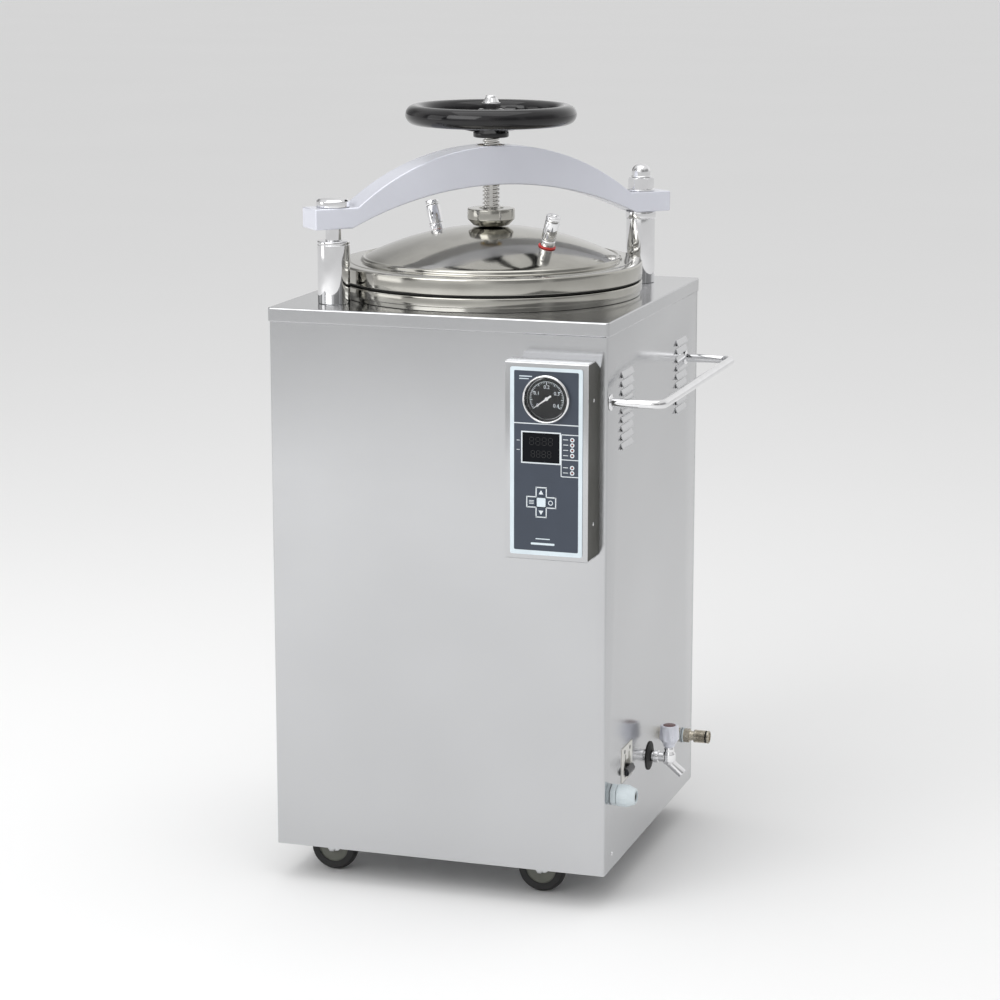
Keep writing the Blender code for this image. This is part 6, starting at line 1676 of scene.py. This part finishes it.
def studio_world():
    """Soft pale room: bright panels all round with dimmer gaps between them, brighter overhead."""
    world = bpy.data.worlds.new("Studio")
    bpy.context.scene.world = world
    world.use_nodes = True
    tree = world.node_tree
    tree.nodes.clear()
    out = tree.nodes.new("ShaderNodeOutputWorld")
    place = tree.nodes.new("ShaderNodeTexCoord").outputs["Generated"]
    split = tree.nodes.new("ShaderNodeSeparateXYZ")
    tree.links.new(place, split.inputs["Vector"])

    def maths(operation, first, second=None):
        made = tree.nodes.new("ShaderNodeMath")
        made.operation = operation
        for entry, value in enumerate((first, second)):
            if isinstance(value, (int, float)):
                made.inputs[entry].default_value = value
            elif value is not None:
                tree.links.new(value, made.inputs[entry])
        return made.outputs[0]

    def ramp(value, stops):
        made = tree.nodes.new("ShaderNodeValToRGB")
        points = made.color_ramp.elements
        while len(points) > 1:
            points.remove(points[-1])
        points[0].position, first = stops[0]
        points[0].color = (first, first, first, 1)
        for position, level in stops[1:]:
            points.new(position).color = (level, level, level, 1)
        tree.links.new(value, made.inputs[0])
        return made.outputs[0]

    turn = maths("ARCTAN2", split.outputs["Y"], split.outputs["X"])
    turn = maths("DIVIDE", maths("ADD", turn, pi), 2 * pi)
    # 0 left, 0.25 front, 0.5 right, 0.75 behind
    around = ramp(turn, [(0.00, 0.55), (0.03, 0.12), (0.125, 0.10), (0.15, 1.0), (0.28, 1.0), (0.315, 0.40),
                         (0.40, 0.30), (0.42, 0.60), (0.44, 0.30), (0.56, 0.40), (0.60, 0.90), (0.70, 1.0),
                         (0.80, 0.85), (0.87, 0.30), (0.92, 0.15), (0.96, 0.60), (1.00, 0.55)])
    upward = maths("MULTIPLY_ADD", split.outputs["Z"], 0.5)
    upward.node.inputs[2].default_value = 0.5
    overhead = ramp(upward, [(0.0, 0.0), (0.70, 0.0), (0.84, 1.0), (1.0, 1.0)])
    mix = tree.nodes.new("ShaderNodeMix")
    mix.data_type = "FLOAT"
    tree.links.new(overhead, mix.inputs["Factor"])
    tree.links.new(around, mix.inputs["A"])
    mix.inputs["B"].default_value = 0.9
    room = maths("MULTIPLY", mix.outputs["Result"], 1.15)
    lit = tree.nodes.new("ShaderNodeBackground")
    tree.links.new(room, lit.inputs["Strength"])
    tree.links.new(lit.outputs[0], out.inputs["Surface"])


def soft_panel(name, power, breadth, tall, start, aim):
    """A large soft lamp that points at a place on the autoclave."""
    clear_selection()
    bpy.ops.object.light_add(type="AREA", location=start)
    lamp = bpy.context.active_object
    lamp.name = name
    lamp.data.shape = "RECTANGLE"
    lamp.data.size, lamp.data.size_y = breadth, tall
    lamp.data.energy = power
    lamp.rotation_euler = (Vector(aim) - Vector(start)).to_track_quat("-Z", "Y").to_euler()
    return lamp


class AUTOCLAVE_OT_stage(bpy.types.Operator):
    """Pale floor, soft studio light and the camera"""

    bl_idname = "autoclave.stage"
    bl_label = "Stage"

    def execute(self, context):
        clear_selection()
        bpy.ops.mesh.primitive_plane_add(size=300, location=(0, 0, 0))
        floor = named("studio_floor")
        shading = Shading("Studio floor")
        tone = tuple(colours().floor)
        clouds = shading.noise(0.8, detail=2)
        shading.colour(clouds, scaled(tone, 0.995), scaled(tone, 1.005))
        shading.roughness(clouds, 0.9, 1.0)
        floor.data.materials.append(shading.material)
        studio_world()
        centre = (AXIS.x, AXIS.y, 0.5)
        soft_panel("front_panel_light", 60, 3.0, 2.4, (-1.4, -3.2, 2.8), centre)
        soft_panel("top_panel_light", 24, 2.6, 2.6, (0.0, -0.4, 3.4), centre)
        soft_panel("left_panel_light", 14, 1.6, 2.4, (-3.2, -1.6, 1.6), centre)
        bpy.ops.object.camera_add(location=(1.1350, -3.5437, 1.2604))
        camera = context.active_object
        camera.name = "front_camera"
        camera.rotation_euler = (pi / 2 - sizes().camera_elevation, 0, sizes().camera_azimuth)
        camera.data.lens = sizes().camera_lens
        camera.data.sensor_width = 36
        context.scene.camera = camera
        context.scene.view_settings.view_transform = "Standard"
        return {"FINISHED"}


# Panel and registration -----------------------------------------------------------------------

STEPS = (
    AUTOCLAVE_OT_cabinet, AUTOCLAVE_OT_louvres, AUTOCLAVE_OT_cover, AUTOCLAVE_OT_chamber, AUTOCLAVE_OT_lid,
    AUTOCLAVE_OT_valves, AUTOCLAVE_OT_beam, AUTOCLAVE_OT_pillars, AUTOCLAVE_OT_screw, AUTOCLAVE_OT_handwheel,
    AUTOCLAVE_OT_control_box, AUTOCLAVE_OT_membrane, AUTOCLAVE_OT_gauge, AUTOCLAVE_OT_display,
    AUTOCLAVE_OT_keys, AUTOCLAVE_OT_breaker, AUTOCLAVE_OT_gland, AUTOCLAVE_OT_tap, AUTOCLAVE_OT_exhaust,
    AUTOCLAVE_OT_push_handle, AUTOCLAVE_OT_castors, AUTOCLAVE_OT_basket, AUTOCLAVE_OT_inside,
    AUTOCLAVE_OT_stage,
)


class AUTOCLAVE_PT_panel(bpy.types.Panel):
    """Lists every step of the build"""

    bl_label = "Vertical Autoclave"
    bl_idname = "AUTOCLAVE_PT_panel"
    bl_space_type = "VIEW_3D"
    bl_region_type = "UI"
    bl_category = "Autoclave"

    def draw(self, context):
        layout = self.layout
        for group in (context.scene.autoclave_sizes, context.scene.autoclave_colours):
            for name in group.__annotations__:
                layout.prop(group, name)
        for step in STEPS:
            layout.operator(step.bl_idname)


CLASSES = (AutoclaveSizes, AutoclaveColours, *STEPS, AUTOCLAVE_PT_panel)


def register():
    for item in CLASSES:
        bpy.utils.register_class(item)
    bpy.types.Scene.autoclave_sizes = PointerProperty(type=AutoclaveSizes)
    bpy.types.Scene.autoclave_colours = PointerProperty(type=AutoclaveColours)


def unregister():
    del bpy.types.Scene.autoclave_colours
    del bpy.types.Scene.autoclave_sizes
    for item in reversed(CLASSES):
        bpy.utils.unregister_class(item)


def main():
    register()
    for step in STEPS:
        group, name = step.bl_idname.split(".")
        result = getattr(getattr(bpy.ops, group), name)()
        if result != {"FINISHED"}:
            raise RuntimeError(f"{step.bl_label} didn't finish")


if __name__ == "__main__":
    main()
